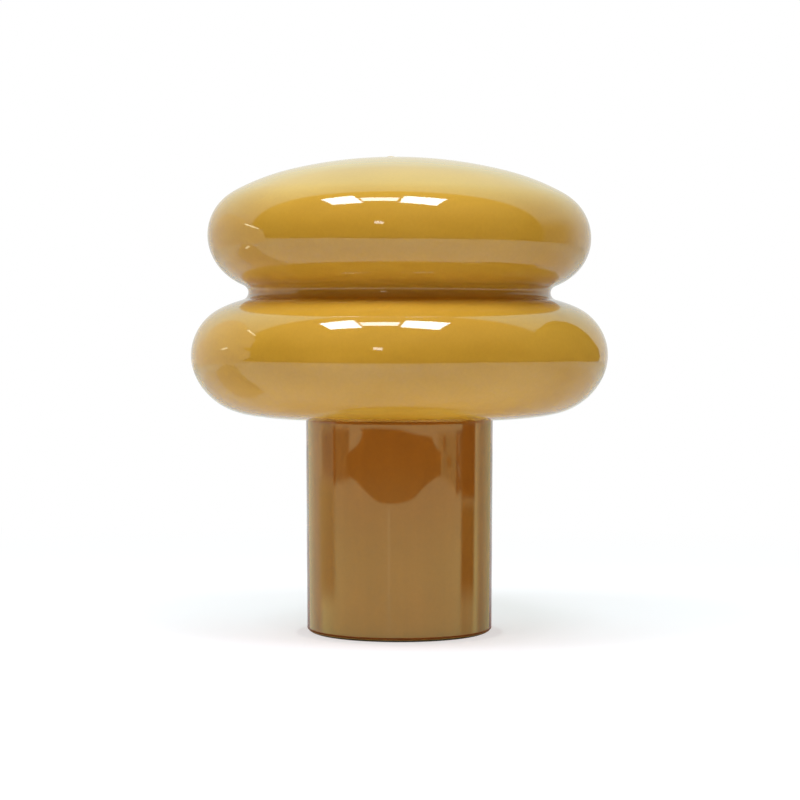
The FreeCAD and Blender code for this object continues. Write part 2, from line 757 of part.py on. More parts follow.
blocks, screws = [], []
for side, tag in ((1, "right"), (-1, "left")):
    block = doc.addObject("Part::Box", "terminal_block_" + tag)
    block.Length, block.Width, block.Height = 4.0, 6.0, 4.0
    block.Placement = FreeCAD.Placement(V(side * VALUES["terminal_offset"] - 2.0, -3.0, 0), FreeCAD.Rotation())
    block.setExpression("Placement.Base.x", "%d * dims.terminal_offset - 2" % side)
    bore = doc.addObject("Part::Cylinder", "terminal_bore_" + tag)
    bore.Radius, bore.Height = 1.25, 3.0
    bore.Placement = FreeCAD.Placement(V(side * VALUES["terminal_offset"], 0, 0), FreeCAD.Rotation())
    bore.setExpression("Placement.Base.x", "%d * dims.terminal_offset" % side)
    cut = doc.addObject("Part::Cut", "terminal_" + tag)
    cut.Base, cut.Tool = block, bore
    blocks.append(cut)
    shank = doc.addObject("Part::Cylinder", "screw_shank_" + tag)
    shank.Radius, shank.Height = 1.2, 3.4
    shank.Placement = FreeCAD.Placement(V(side * VALUES["terminal_offset"], 0, -0.9), FreeCAD.Rotation())
    head = doc.addObject("Part::Cylinder", "screw_head_" + tag)
    head.Radius, head.Height = 1.9, 0.9
    head.Placement = FreeCAD.Placement(V(side * VALUES["terminal_offset"], 0, -0.9), FreeCAD.Rotation())
    whole = doc.addObject("Part::Fuse", "screw_whole_" + tag)
    whole.Base, whole.Tool = shank, head
    slot = doc.addObject("Part::Box", "screw_slot_" + tag)
    slot.Length, slot.Width, slot.Height = 5.0, 0.5, 0.4
    slot.Placement = FreeCAD.Placement(V(side * VALUES["terminal_offset"] - 2.5, -0.25, -0.9), FreeCAD.Rotation())
    for part in (shank, head):
        part.setExpression("Placement.Base.x", "%d * dims.terminal_offset" % side)
    slot.setExpression("Placement.Base.x", "%d * dims.terminal_offset - 2.5" % side)
    screw = doc.addObject("Part::Cut", "screw_" + tag)
    screw.Base, screw.Tool = whole, slot
    screws.append(screw)
doc.recompute()
place(pair("holder_terminals", blocks), z=d("core_bottom") - 4.0)
place(pair("terminal_screws", screws), z=d("core_bottom") - 4.0)

# ---------------------------------------------------------------- cord inlet, at the back
TO_BACK = FreeCAD.Rotation(V(1, 0, 0), -90)
bush_foot = d("inlet_flange_face") - d("inlet_body_length")
inlet = turned(
    "cord_inlet_bush",
    [
        (d("inlet_bore_radius"), 0),
        (d("inlet_body_radius"), 0),
        (d("inlet_body_radius"), d("inlet_body_length")),
        (d("inlet_flange_radius"), d("inlet_body_length")),
        (d("inlet_flange_radius"), d("inlet_body_length") + d("inlet_flange_thick")),
        (d("inlet_bore_radius"), d("inlet_body_length") + d("inlet_flange_thick")),
    ],
    y=bush_foot,
    z=d("inlet_height"),
    rotation=TO_BACK,
)
rounded(inlet, [(d("inlet_flange_radius"), d("inlet_body_length") + d("inlet_flange_thick"))], 1.2, "edge")
hex_nut(
    "cord_inlet_nut", d("nut_flats"), d("inlet_nut_thick"), d("inlet_body_radius") + 0.05,
    y=bush_foot + 2.5, z=d("inlet_height"), rotation=TO_BACK,
)

# ---------------------------------------------------------------- bulb
tip = d("bulb_tip")
turned("bulb_contact", [(0, 0), (2.4, 0), (4.6, 0.9), (4.6, 1.5), (0, 1.5)], z=tip)
turned("bulb_insulator", [(0, 1.5), (5.0, 1.5), (10.8, 4.3), (10.8, 6.0), (0, 6.0)], z=tip)

# The cap's rounded thread is drawn as rings at the thread's pitch, between its crest and root.
crest, root, pitch = d("bulb_thread_crest"), d("bulb_thread_root"), d("bulb_pitch")
points = [(10.85, 4.3), (11.6, 4.3), (root, 5.2)]
for k in range(1, 25):
    wave = 0.5 - 0.5 * math.cos(2 * math.pi * k / 6.0)
    points.append((root + (crest - root) * round(wave, 6), size(5.2) + pitch * (k / 6.0)))
points += [(12.9, 21.6), (13.2, 22.6), (14.3, 23.6), (14.3, 24.8), (13.9, 24.8), (13.9, 24.0), (12.6, 23.0), (11.6, 21.6), (11.6, 6.2), (10.85, 6.2)]
turned("bulb_cap", points, z=tip)

# Envelope: a globe and a waist, two tangent arcs each side of the thin glass.
envelope = new_body("bulb_envelope")
sk = new_sketch(envelope, "section")
bw = d("bulb_wall")


def bulb_chain(offset):
    return arc_chain(
        sk, 0,
        [(d("bulb_radius") - offset, d("bulb_globe_span"), 1), (d("bulb_neck_radius") + offset, d("bulb_neck_span"), -1)],
    )


def bulb_section():
    """The same two chains, hung from the crown instead of the neck."""
    ids = []
    for offset in (size(0), bw):
        r1, r2 = d("bulb_radius") - offset, d("bulb_neck_radius") + offset
        c1 = d("bulb_height") - d("bulb_radius")
        a = math.radians(VALUES["bulb_globe_span"])
        b = a - math.radians(VALUES["bulb_neck_span"])
        x, z = r1.value * math.sin(a), c1.value + r1.value * math.cos(a)
        cx, cz = x + r2.value * math.sin(a), z + r2.value * math.cos(a)
        globe = sk.addGeometry(Part.ArcOfCircle(Part.Circle(V(0, c1.value, 0), V(0, 0, 1), r1.value), math.pi / 2 - a, math.pi / 2), False)
        waist = sk.addGeometry(Part.ArcOfCircle(Part.Circle(V(cx, cz, 0), V(0, 0, 1), r2.value), 1.5 * math.pi - a, 1.5 * math.pi - b), False)
        sk.addConstraint(C("Tangent", globe, 1, waist, 1))
        sk.addConstraint(C("PointOnObject", globe, 2, -2))
        sk.addConstraint(C("PointOnObject", globe, 3, -2))
        bind(sk, "DistanceY", (globe, 3), c1)
        bind(sk, "Radius", (globe,), r1)
        bind(sk, "Angle", (globe,), d("bulb_globe_span"))
        bind(sk, "Radius", (waist,), r2)
        bind(sk, "Angle", (waist,), d("bulb_neck_span"))
        end = V(cx - r2.value * math.sin(b), cz - r2.value * math.cos(b), 0)
        ids.append((globe, waist, V(0, c1.value + r1.value, 0), end))
    (g0, w0, t0, e0), (g1, w1, t1, e1) = ids
    lip = sk.addGeometry(Part.LineSegment(e0, e1), False)
    axis = sk.addGeometry(Part.LineSegment(t1, t0), False)
    sk.addConstraint(C("Coincident", w0, 2, lip, 1))
    sk.addConstraint(C("Coincident", lip, 2, w1, 2))
    sk.addConstraint(C("Coincident", axis, 1, g1, 2))
    sk.addConstraint(C("Coincident", axis, 2, g0, 2))


bulb_section()
doc.recompute()
print("bulb section: free", sk.solve(), "conflicting", list(sk.ConflictingConstraints), "redundant", list(sk.RedundantConstraints))
revolve(envelope, sk)
place(envelope, z=tip)

turned("bulb_stem", [(0, 24.6), (11.6, 24.6), (9.5, 26.4), (4.2, 31.0), (3.0, 36.0), (2.6, 45.0), (1.4, 47.0), (0, 47.0)], z=tip)


def many(label, solids):
    group = doc.addObject("Part::Compound", label)
    group.Links = solids
    group.Label = label
    NODES.append(group)
    doc.recompute()
    return group


def rod_between(name, a, b, radius):
    """A round rod from a to b."""
    c = doc.addObject("Part::Cylinder", name)
    c.Radius = radius
    line = b - a
    c.Height = line.Length
    c.Placement = FreeCAD.Placement(a, FreeCAD.Rotation(V(0, 0, 1), line))
    return c


fc, fl, fr = VALUES["filament_circle"], VALUES["filament_length"], VALUES["filament_radius"]
low, high = 49.0, 49.0 + fl
strips, wires = [], []
wires.append(rod_between("lead_centre", V(0, 0, 47.0), V(0, 0, high + 1.6), 0.45))
wires.append(rod_between("lead_collar", V(0, 0, high + 0.4), V(0, 0, high + 2.0), 1.0))
wires.append(rod_between("lead_foot", V(0, 0, low - 2.0), V(0, 0, low - 0.4), 1.0))
for k in range(4):
    a = math.radians(45 + 90 * k)
    foot = V(0.62 * fc * math.cos(a), 0.62 * fc * math.sin(a), low)
    head = V(fc * math.cos(a), fc * math.sin(a), high)
    strip = rod_between("filament_%d" % k, foot, head, fr)
    strip.setExpression("Radius", "dims.filament_radius")
    strips.append(strip)
    u = (head - foot).normalize()
    wires.append(rod_between("lead_low_%d" % k, V(0, 0, low - 1.2), foot - u * 0.02, 0.4))
    wires.append(rod_between("lead_high_%d" % k, V(0, 0, high + 1.2), head + u * 0.02, 0.4))
doc.recompute()
leads = doc.addObject("Part::MultiFuse", "leads_whole")
leads.Shapes = wires
doc.recompute()
cutter = doc.addObject("Part::Cut", "bulb_leads")
tool = doc.addObject("Part::Compound", "filament_room")
tool.Links = strips
cutter.Base, cutter.Tool = leads, tool
cutter.Label = "bulb_leads"
NODES.append(cutter)
doc.recompute()
place(cutter, z=tip)
place(many("bulb_filaments", strips), z=tip)
doc.recompute()

# ---------------------------------------------------------------- checks and files
bad = [o.Name for o in doc.Objects if any(s in ("Invalid", "Error") for s in o.State)]
if bad:
    raise RuntimeError("failed objects: " + ", ".join(bad))
os.makedirs("parts", exist_ok=True)
for old in os.listdir("parts"):
    if old.endswith(".step"):
        os.remove(os.path.join("parts", old))
names = [o.Label for o in NODES]
if len(set(names)) != len(names):
    raise RuntimeError("two nodes share a name")
for obj in NODES:
    shape = obj.Shape
    if shape.isNull() or not shape.isValid() or not shape.Solids:
        raise RuntimeError(obj.Label + " has no valid solid")
    box = shape.BoundBox
    print(
        "%-22s solids %d  volume %10.1f  x %8.2f %8.2f  y %8.2f %8.2f  z %8.2f %8.2f"
        % (obj.Label, len(shape.Solids), shape.Volume, box.XMin, box.XMax, box.YMin, box.YMax, box.ZMin, box.ZMax)
    )
for obj in NODES:
    obj.Shape.exportStep("parts/%s.step" % obj.Label)
print("nodes", len(NODES))
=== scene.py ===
import math

import bmesh
import bpy
import numpy as np
from mathutils import Matrix, Vector, noise


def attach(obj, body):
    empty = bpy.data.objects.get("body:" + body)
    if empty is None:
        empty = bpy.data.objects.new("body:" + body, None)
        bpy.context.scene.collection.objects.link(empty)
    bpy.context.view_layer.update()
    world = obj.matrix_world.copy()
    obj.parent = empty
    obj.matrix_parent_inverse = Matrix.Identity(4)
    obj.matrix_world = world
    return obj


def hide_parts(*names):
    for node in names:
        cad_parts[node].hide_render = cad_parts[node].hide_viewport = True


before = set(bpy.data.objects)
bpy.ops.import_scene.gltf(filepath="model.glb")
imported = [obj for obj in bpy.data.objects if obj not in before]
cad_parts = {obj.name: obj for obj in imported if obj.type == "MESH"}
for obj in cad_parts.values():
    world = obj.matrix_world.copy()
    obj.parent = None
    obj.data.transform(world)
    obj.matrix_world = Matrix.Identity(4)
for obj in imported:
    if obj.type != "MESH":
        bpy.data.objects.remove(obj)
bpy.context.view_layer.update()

MM = 0.001
SCENE = bpy.context.scene


# ================================================================ nodes
class Nodes:
    """A small helper that adds nodes to a material's or the world's tree and links them."""

    def __init__(self, tree):
        self.tree = tree
        self.count = 0

    def add(self, kind, **settings):
        n = self.tree.nodes.new(kind)
        n.location = (-200 * (self.count % 9), -180 * (self.count // 9))
        self.count += 1
        for key, value in settings.items():
            setattr(n, key, value)
        return n

    def feed(self, socket, value):
        if value is None:
            return
        if isinstance(value, bpy.types.NodeSocket):
            self.tree.links.new(value, socket)
        elif isinstance(value, (tuple, list)):
            value = tuple(value)
            if socket.type == "RGBA" and len(value) == 3:
                value += (1.0,)
            socket.default_value = value
        else:
            socket.default_value = value

    def math(self, op, a, b=None, c=None, clamp=False):
        n = self.add("ShaderNodeMath", operation=op, use_clamp=clamp)
        for i, v in enumerate((a, b, c)):
            self.feed(n.inputs[i], v)
        return n.outputs[0]

    def mapped(self, value, lo, hi, to_lo, to_hi, smooth=False):
        n = self.add("ShaderNodeMapRange", interpolation_type="SMOOTHSTEP" if smooth else "LINEAR", clamp=True)
        for i, v in enumerate((value, lo, hi, to_lo, to_hi)):
            self.feed(n.inputs[i], v)
        return n.outputs[0]

    def scaled(self, vector, scale, location=(0, 0, 0)):
        n = self.add("ShaderNodeMapping")
        self.feed(n.inputs["Vector"], vector)
        n.inputs["Scale"].default_value = scale
        n.inputs["Location"].default_value = location
        return n.outputs[0]

    def noise(self, vector, scale, detail=2.0, rough=0.5, distort=0.0):
        n = self.add("ShaderNodeTexNoise", noise_dimensions="3D")
        self.feed(n.inputs["Vector"], vector)
        n.inputs["Scale"].default_value = scale
        n.inputs["Detail"].default_value = detail
        n.inputs["Roughness"].default_value = rough
        n.inputs["Distortion"].default_value = distort
        return n.outputs["Fac"]

    def cells(self, vector, scale, feature="F1"):
        n = self.add("ShaderNodeTexVoronoi", feature=feature)
        self.feed(n.inputs["Vector"], vector)
        n.inputs["Scale"].default_value = scale
        return n.outputs["Distance"]

    def wave(self, vector, scale, direction="Z", distort=0.0, profile="SIN"):
        n = self.add("ShaderNodeTexWave", wave_type="BANDS", bands_direction=direction, wave_profile=profile)
        self.feed(n.inputs["Vector"], vector)
        n.inputs["Scale"].default_value = scale
        n.inputs["Distortion"].default_value = distort
        return n.outputs["Fac"]

    def mix(self, fac, a, b, blend="MIX"):
        n = self.add("ShaderNodeMix", data_type="RGBA", blend_type=blend, clamp_factor=True)
        self.feed(n.inputs[0], fac)
        self.feed(n.inputs[6], a)
        self.feed(n.inputs[7], b)
        return n.outputs[2]

    def ramp(self, fac, stops):
        n = self.add("ShaderNodeValToRGB")
        self.feed(n.inputs[0], fac)
        ramp = n.color_ramp
        while len(ramp.elements) < len(stops):
            ramp.elements.new(0.5)
        for el, (pos, col) in zip(ramp.elements, stops):
            el.position = pos
            el.color = tuple(col) + (1.0,) if len(col) == 3 else col
        return n.outputs[0]

    def bump(self, height, strength, distance, normal=None):
        n = self.add("ShaderNodeBump")
        n.inputs["Strength"].default_value = strength
        n.inputs["Distance"].default_value = distance
        self.feed(n.inputs["Height"], height)
        if normal is not None:
            self.feed(n.inputs["Normal"], normal)
        return n.outputs[0]

    def where(self):
        return self.add("ShaderNodeTexCoord").outputs["Object"]


def material(name, **constants):
    """A new material with a Principled shader; constants go to the shader's own sockets."""
    m = bpy.data.materials.new(name)
    m.use_nodes = True
    t = m.node_tree
    t.nodes.clear()
    n = Nodes(t)
    out = n.add("ShaderNodeOutputMaterial")
    p = n.add("ShaderNodeBsdfPrincipled")
    t.links.new(p.outputs[0], out.inputs["Surface"])
    for key, value in constants.items():
        n.feed(p.inputs[key.replace("_", " ")], value)
    return m, n, p


def tinted(n, base, factor, amount):
    """The base colour made lighter and darker by amount, as factor goes from 0 to 1."""
    lo = tuple(max(0.0, c * (1 - amount)) for c in base)
    hi = tuple(min(1.0, c * (1 + amount)) for c in base)
    return n.mix(factor, lo, hi)


# ================================================================ glass of the shade and the base
def cased_glass(name, deep, mid, light, streaks, painted_groove_light=None):
    """Coloured glass over opal: glossy skin, soft clouds and streaks in the colour, fine seeds, and painted light that
    lifts the groove when asked.
    """
    m, n, p = material(name, IOR=1.55, Coat_Weight=0.0, Subsurface_Weight=0.0)
    w = n.where()
    cloud = n.noise(n.scaled(w, (1.0, 1.0, 1.5)), 11.0, 3.0, 0.5, 0.4)
    cloud = n.mapped(cloud, 0.32, 0.68, 0.0, 1.0)
    colour = n.ramp(cloud, [(0.0, deep), (0.5, mid), (1.0, light)])
    # long thin streaks where the gather was drawn out
    s = n.noise(n.scaled(w, streaks), 1.0, 2.0, 0.55)
    s = n.mapped(s, 0.35, 0.65, 0.965, 1.035)
    # fine mottle of the opal layer under the colour
    f = n.noise(w, 420.0, 2.0, 0.6)
    f = n.mapped(f, 0.3, 0.7, 0.975, 1.025)
    v = n.math("MULTIPLY", s, f)
    if painted_groove_light is not None:
        # painted light: the colour is made lighter in a band round the groove, to lift the shade that falls there
        at = n.add("ShaderNodeSeparateXYZ")
        n.feed(at.inputs[0], w)
        z0, z1, z2, z3, gain = painted_groove_light
        groove_light_band = n.math("MULTIPLY", n.mapped(at.outputs[2], z0, z1, 0.0, 1.0, smooth=True), n.mapped(at.outputs[2], z2, z3, 1.0, 0.0, smooth=True))
        v = n.math("MULTIPLY", v, n.math("ADD", n.math("MULTIPLY", groove_light_band, gain), 1.0))
    hsv = n.add("ShaderNodeHueSaturation")
    n.feed(hsv.inputs["Value"], v)
    n.feed(hsv.inputs["Color"], colour)
    n.feed(p.inputs["Base Color"], hsv.outputs[0])
    r = n.noise(w, 26.0, 3.0, 0.6)
    n.feed(p.inputs["Roughness"], n.mapped(r, 0.3, 0.7, 0.025, 0.05))
    # seeds: rare pin-prick bubbles close under the skin
    seeds = n.cells(w, 260.0)
    seeds = n.mapped(seeds, 0.0, 0.10, 1.0, 0.0, smooth=True)
    rare = n.noise(w, 60.0, 1.0, 0.5)
    seeds = n.math("MULTIPLY", seeds, n.mapped(rare, 0.62, 0.70, 0.0, 1.0))
    n.feed(p.inputs["Normal"], n.bump(seeds, 0.12, 0.00015))
    return m


# the amber glass carries painted light in the groove: the band fades in over 0.2415-0.2465 m and out over 0.2490-0.2590
# m, up to 24 % lighter
AMBER = cased_glass("amber_glass", (0.528, 0.264, 0.0255), (0.552, 0.280, 0.0288), (0.578, 0.298, 0.0340), (9.0, 9.0, 30.0), (0.2415, 0.2465, 0.2490, 0.2590, 0.24))
BROWN = cased_glass("brown_glass", (0.328, 0.100, 0.0080), (0.346, 0.107, 0.0094), (0.364, 0.115, 0.0110), (70.0, 70.0, 2.5))


def opal(name, tint):
    m, n, p = material(name, IOR=1.52, Subsurface_Weight=0.0)
    w = n.where()
    c = n.mapped(n.noise(w, 18.0, 3.0, 0.5, 0.5), 0.3, 0.7, 0.0, 1.0)
    colour = n.mix(c, tuple(x * 0.96 for x in tint), tint)
    n.feed(p.inputs["Base Color"], colour)
    n.feed(p.inputs["Roughness"], n.mapped(n.noise(w, 40.0, 2.0), 0.3, 0.7, 0.06, 0.12))
    n.feed(p.inputs["Normal"], n.bump(n.noise(w, 34.0, 2.0, 0.5), 0.15, 0.0006))
    return m


OPAL = opal("opal_lining", (0.86, 0.83, 0.76))

# ================================================================ meshes
SEGMENTS = 224


def build(name, verts, faces, mats, index=None, smooth=True, sharp=None):
    me = bpy.data.meshes.new(name)
    me.from_pydata([tuple(map(float, v)) for v in verts], [], faces)
    for m in mats:
        me.materials.append(m)
    if index is not None:
        me.polygons.foreach_set("material_index", np.asarray(index, np.int32))
    bm = bmesh.new()
    bm.from_mesh(me)
    bmesh.ops.recalc_face_normals(bm, faces=bm.faces)
    bm.to_mesh(me)
    bm.free()
    me.polygons.foreach_set("use_smooth", np.full(len(me.polygons), smooth, bool))
    if smooth and sharp is not None:
        me.set_sharp_from_angle(angle=math.radians(sharp))
    me.update()
    ob = bpy.data.objects.new(name, me)
    SCENE.collection.objects.link(ob)
    return ob


def lathe(name, section, mats, which=None, segments=SEGMENTS, shift=None, sharp=None):
    """Turns a closed section of (r, z) in mm about Z. A point on the axis becomes one vertex.

    which gives the material index of each span of the section; shift moves a point, as a function of the angle."""
    verts, rows = [], []
    ang = np.arange(segments) * (2 * math.pi / segments)
    for i, (r, z) in enumerate(section):
        if r < 1e-6:
            x, y, h = (0.0, 0.0, z) if shift is None else shift(i, 0.0, 0.0, z)
            rows.append([len(verts)])
            verts.append((x * MM, y * MM, h * MM))
            continue
        row = []
        for a in ang:
            x, y, h = r * math.cos(a), r * math.sin(a), z
            if shift is not None:
                x, y, h = shift(i, x, y, h)
            row.append(len(verts))
            verts.append((x * MM, y * MM, h * MM))
        rows.append(row)
    faces, index = [], []
    n = len(section)
    for i in range(n):
        a, b = rows[i], rows[(i + 1) % n]
        k = 0 if which is None else which[i]
        if len(a) == 1 and len(b) == 1:
            continue
        for j in range(segments):
            j2 = (j + 1) % segments
            if len(a) == 1:
                faces.append((a[0], b[j], b[j2]))
            elif len(b) == 1:
                faces.append((a[j], b[0], a[j2]))
            else:
                faces.append((a[j], b[j], b[j2], a[j2]))
            index.append(k)
    return build(name, verts, faces, mats, index, sharp=sharp)


def fillet(section, at, radius, steps=6):
    """Rounds corner number at of a section with an arc."""
    p = [np.array(q, float) for q in section]
    c, a, b = p[at], p[at - 1], p[(at + 1) % len(p)]
    u, v = (a - c) / np.linalg.norm(a - c), (b - c) / np.linalg.norm(b - c)
    half = 0.5 * math.acos(max(-1.0, min(1.0, float(u @ v))))
    t = radius / math.tan(half)
    centre = c + (u + v) / np.linalg.norm(u + v) * radius / math.sin(half)
    p0, p1 = c + u * t - centre, c + v * t - centre
    a0, a1 = math.atan2(p0[1], p0[0]), math.atan2(p1[1], p1[0])
    da = (a1 - a0 + math.pi) % (2 * math.pi) - math.pi
    arc = [tuple(centre + radius * np.array((math.cos(a0 + da * k / steps), math.sin(a0 + da * k / steps)))) for k in range(steps + 1)]
    return [tuple(q) for q in section[:at]] + arc + [tuple(q) for q in section[at + 1:]]


def rounded(section, corners, radius, steps=5):
    """Rounds several corners, given as (r, z)."""
    for r, z in corners:
        at = min(range(len(section)), key=lambda i: (section[i][0] - r) ** 2 + (section[i][1] - z) ** 2)
        section = fillet(section, at, radius, steps)
    return section


# ---------------------------------------------------------------- the shade
SHADE_SEAT = 154.1
WALL = 3.0
MOUTH = 51.0
ARCS = [
    (322.4, 14.4, 1), (163.2, 14.3, 1), (42.0, 12.6, 1), (35.35, 93.1, 1), (44.95, 24.0, 1), (5.25, 143.3, -1),
    (94.0, 9.9, 1), (38.15, 51.2, 1), (36.1, 40.9, 1), (48.3, 51.3, 1), (162.15, 11.6, 1),
]


def shade_line():
    """The outside of the shade from the crown to the floor: arcs whose changes of bend are blended,
    because glass blown into a mould has none. Gives rows of r, z, normal r, normal z."""
    ds = 0.1
    goal_r, goal_z, ang = 0.0, 0.0, 0.0
    lengths, bends = [], []
    for radius, span, sign in ARCS:
        a = ang + sign * math.radians(span)
        goal_r += sign * radius * (math.sin(a) - math.sin(ang))
        goal_z += sign * radius * (math.cos(a) - math.cos(ang))
        ang = a
        lengths.append(radius * math.radians(span))
        bends.append(sign / radius)
    joints = np.concatenate([[0.0], np.cumsum(lengths)])
    grid = (np.arange(int(round(joints[-1] / ds))) + 0.5) * ds
    out = np.full(len(grid), bends[0])
    for i in range(1, len(bends)):
        # the bend runs evenly from one arc's to the next one's, over the same length on both sides
        half = min(7.0, 0.42 * lengths[i - 1], 0.42 * lengths[i])
        if min(abs(1 / bends[i - 1]), abs(1 / bends[i])) < 10:
            half = 1.6
        t = np.clip((grid - joints[i] + half) / (2 * half), 0.0, 1.0)
        out += (bends[i] - bends[i - 1]) * t * t * (3 - 2 * t)
    a = np.concatenate([[0.0], np.cumsum(out) * ds])
    a *= ang / a[-1]
    mid = 0.5 * (a[1:] + a[:-1])
    r = np.concatenate([[0.0], np.cumsum(np.cos(mid)) * ds])
    z = np.concatenate([[0.0], -np.cumsum(np.sin(mid)) * ds])
    s = np.arange(len(r)) * ds
    r += (goal_r - r[-1]) * (s / s[-1])
    z += (goal_z - z[-1]) * (s / s[-1])
    z += SHADE_SEAT - z[-1]
    return s, r, z, a


def thin_out(s, a, far, turn):
    """Which points to keep, so that none is further than far from the last, nor turns more than turn."""
    keep = [0]
    for i in range(1, len(s)):
        if s[i] - s[keep[-1]] >= far or abs(a[i] - a[keep[-1]]) >= math.radians(turn):
            keep.append(i)
    if keep[-1] != len(s) - 1:
        keep.append(len(s) - 1)
    return keep


s, r, z, a = shade_line()
keep = set(thin_out(s, a, 2.2, 2.4)) | set(range(0, 160, 6))
# finer towards the seat, where the glass is seen at a grazing angle
keep = sorted(keep | set(range(len(s) - 250, len(s), 10)))
NUB = (-6.2, 0.0, 5.6, 1.35)  # the blower's nub is a little to the left of the axis: x, y, radius, height in mm
outer = [(r[i], z[i], a[i]) for i in keep]
keep_in = thin_out(s, a, 5.0, 7.0)
inner = [(max(0.0, r[i] - WALL * math.sin(a[i])), z[i] - WALL * math.cos(a[i]), a[i]) for i in keep_in]
section = [(p[0], p[1]) for p in outer]
end_r, end_z = section[-1]
rim = 1.2
section.append((0.5 * (end_r + MOUTH), SHADE_SEAT))
arc0 = [(MOUTH + rim - rim * math.sin(t), SHADE_SEAT + rim - rim * math.cos(t)) for t in np.linspace(0, math.pi / 2, 7)]
arc1 = [(MOUTH + rim - rim * math.cos(t), SHADE_SEAT + WALL - rim + rim * math.sin(t)) for t in np.linspace(0, math.pi / 2, 7)]
section += arc0 + arc1
n_outer = len(section) - 4
section += [(0.5 * (inner[-1][0] + MOUTH), SHADE_SEAT + WALL)]
section += [(p[0], p[1]) for p in inner[::-1]]
count_out = len(outer)
count = len(section)


def shade_shift(i, x, y, h):
    """The small unevenness of blown glass, the crown's lean, and the nub."""
    fade = 1.0
    top = h - SHADE_SEAT
    if top < 12.0:
        fade = max(0.0, (top - 1.0) / 11.0) if top > 1.0 else 0.0
    q = Vector((x, y, h))
    w = noise.noise(q * 0.011 + Vector((3.1, 0.4, 7.7))) * 0.20 + noise.noise(q * 0.026 + Vector((9.3, 5.4, 1.7))) * 0.02
    rad = math.hypot(x, y)
    if rad > 1e-6:
        k = 1 + w * fade * min(1.0, rad / 40.0) / rad
        x, y = x * k, y * k
    h += fade * 0.2 * w * max(0.0, 1 - rad / 110.0)
    t = min(1.0, max(0.0, (top - 75.0) / 50.0))
    h -= 0.0085 * x * t * t * (3 - 2 * t)
    if i < count_out:
        dist = math.hypot(x - NUB[0], y - NUB[1])
        t = min(1.0, dist / NUB[2])
        h += NUB[3] * (1 - t ** 3) ** 2 if t < 1 else 0.0
        t = min(1.0, dist / (NUB[2] * 3.0))
        h -= 0.15 * (1 - t * t) ** 2
    return x, y, h


which = [0 if i < n_outer else 1 for i in range(count)]
shade = lathe("shade", section, [AMBER, OPAL], which, segments=256, shift=shade_shift)
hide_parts("shade_glass")
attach(shade, "shade")

# ---------------------------------------------------------------- the glass base
FOOT, TOP = 2.0, 153.4
R_FOOT, R_TOP = 66.4, 67.3


def base_section():
    pts = [(R_FOOT, FOOT)]
    pts += [(R_FOOT + (R_TOP - R_FOOT) * t, FOOT + (TOP - FOOT) * t) for t in np.linspace(0.04, 0.94, 44)]
    pts += [(R_TOP, TOP), (15.0, TOP), (15.0, TOP - 4.0), (R_TOP - 4.0, TOP - 4.0)]
    pts += [(R_TOP - 4.0 + (R_FOOT - R_TOP) * t, TOP - 4.0 + (FOOT - TOP + 4.0) * t) for t in np.linspace(0.06, 0.96, 14)]
    pts += [(R_FOOT - 4.0, FOOT)]
    pts = rounded(pts, [(R_TOP, TOP)], 0.5, 6)
    pts = rounded(pts, [(R_TOP - 4.0, TOP - 4.0)], 3.0, 6)
    pts = rounded(pts, [(15.0, TOP), (15.0, TOP - 4.0)], 0.8, 4)
    pts = rounded(pts, [(R_FOOT - 4.0, FOOT)], 0.8, 4)
    pts = rounded(pts, [(R_FOOT, FOOT)], 1.5, 6)
    return pts


section = base_section()
low = min(range(len(section)), key=lambda i: section[i][1] + 0.02 * abs(section[i][0] - R_FOOT))
edge_out = max(range(len(section)), key=lambda i: section[i][0])
which = []
for i, (rr, zz) in enumerate(section):
    r2, z2 = section[(i + 1) % len(section)]
    mr, mz = 0.5 * (rr + r2), 0.5 * (zz + z2)
    inside = (mr < R_TOP - 2.6 and mz < TOP - 1.2) or (mz > FOOT + 1.2 and mr < R_FOOT - 2.6 and mz < TOP - 1.2)
    which.append(1 if inside else 0)


def base_shift(i, x, y, h):
    rad = math.hypot(x, y)
    if rad < 55.0:
        return x, y, h
    q = Vector((x, y, h * 0.45))
    w = noise.noise(q * 0.016 + Vector((2.2, 8.1, 4.4))) * 0.22
    t = (h - FOOT) / (TOP - FOOT)
    k = 1 + w * math.sin(math.pi * min(1.0, max(0.0, t))) / rad
    return x * k, y * k, h


base = lathe("base", section, [BROWN, OPAL], which, shift=base_shift)
base_cutter = lathe(
    "inlet_cutter", [(0.0, 55.0), (5.3, 55.0), (5.3, 75.0), (0.0, 75.0)], [BROWN], segments=48,
)
base_cutter.data.transform(Matrix.Translation((0, 0, 14.0 * MM)) @ Matrix.Rotation(math.radians(-90), 4, "X"))
hole = base.modifiers.new("inlet_hole", "BOOLEAN")
hole.operation = "DIFFERENCE"
hole.object = base_cutter
hole.solver = "EXACT"
dg = bpy.context.evaluated_depsgraph_get()
cut = bpy.data.meshes.new_from_object(base.evaluated_get(dg))
base.modifiers.remove(hole)
old = base.data
base.data = cut
bpy.data.meshes.remove(old)
bpy.data.objects.remove(base_cutter)
base.data.set_sharp_from_angle(angle=math.radians(40))
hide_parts("base_glass")
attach(base, "base")

# ================================================================ finishes of the other parts
def seal_rubber():
    """Amber-brown silicone with a dull bloom."""
    m, n, p = material("soft_seal", IOR=1.43, Specular_IOR_Level=0.35)
    w = n.where()
    c = n.mapped(n.noise(w, 55.0, 3.0, 0.55), 0.3, 0.7, 0.0, 1.0)
    n.feed(p.inputs["Base Color"], n.mix(c, (0.400, 0.200, 0.038), (0.480, 0.250, 0.050)))
    n.feed(p.inputs["Roughness"], n.mapped(n.noise(w, 300.0, 2.0), 0.3, 0.7, 0.42, 0.62))
    n.feed(p.inputs["Normal"], n.bump(n.noise(w, 1600.0, 2.0), 0.25, 0.0001))
    return m


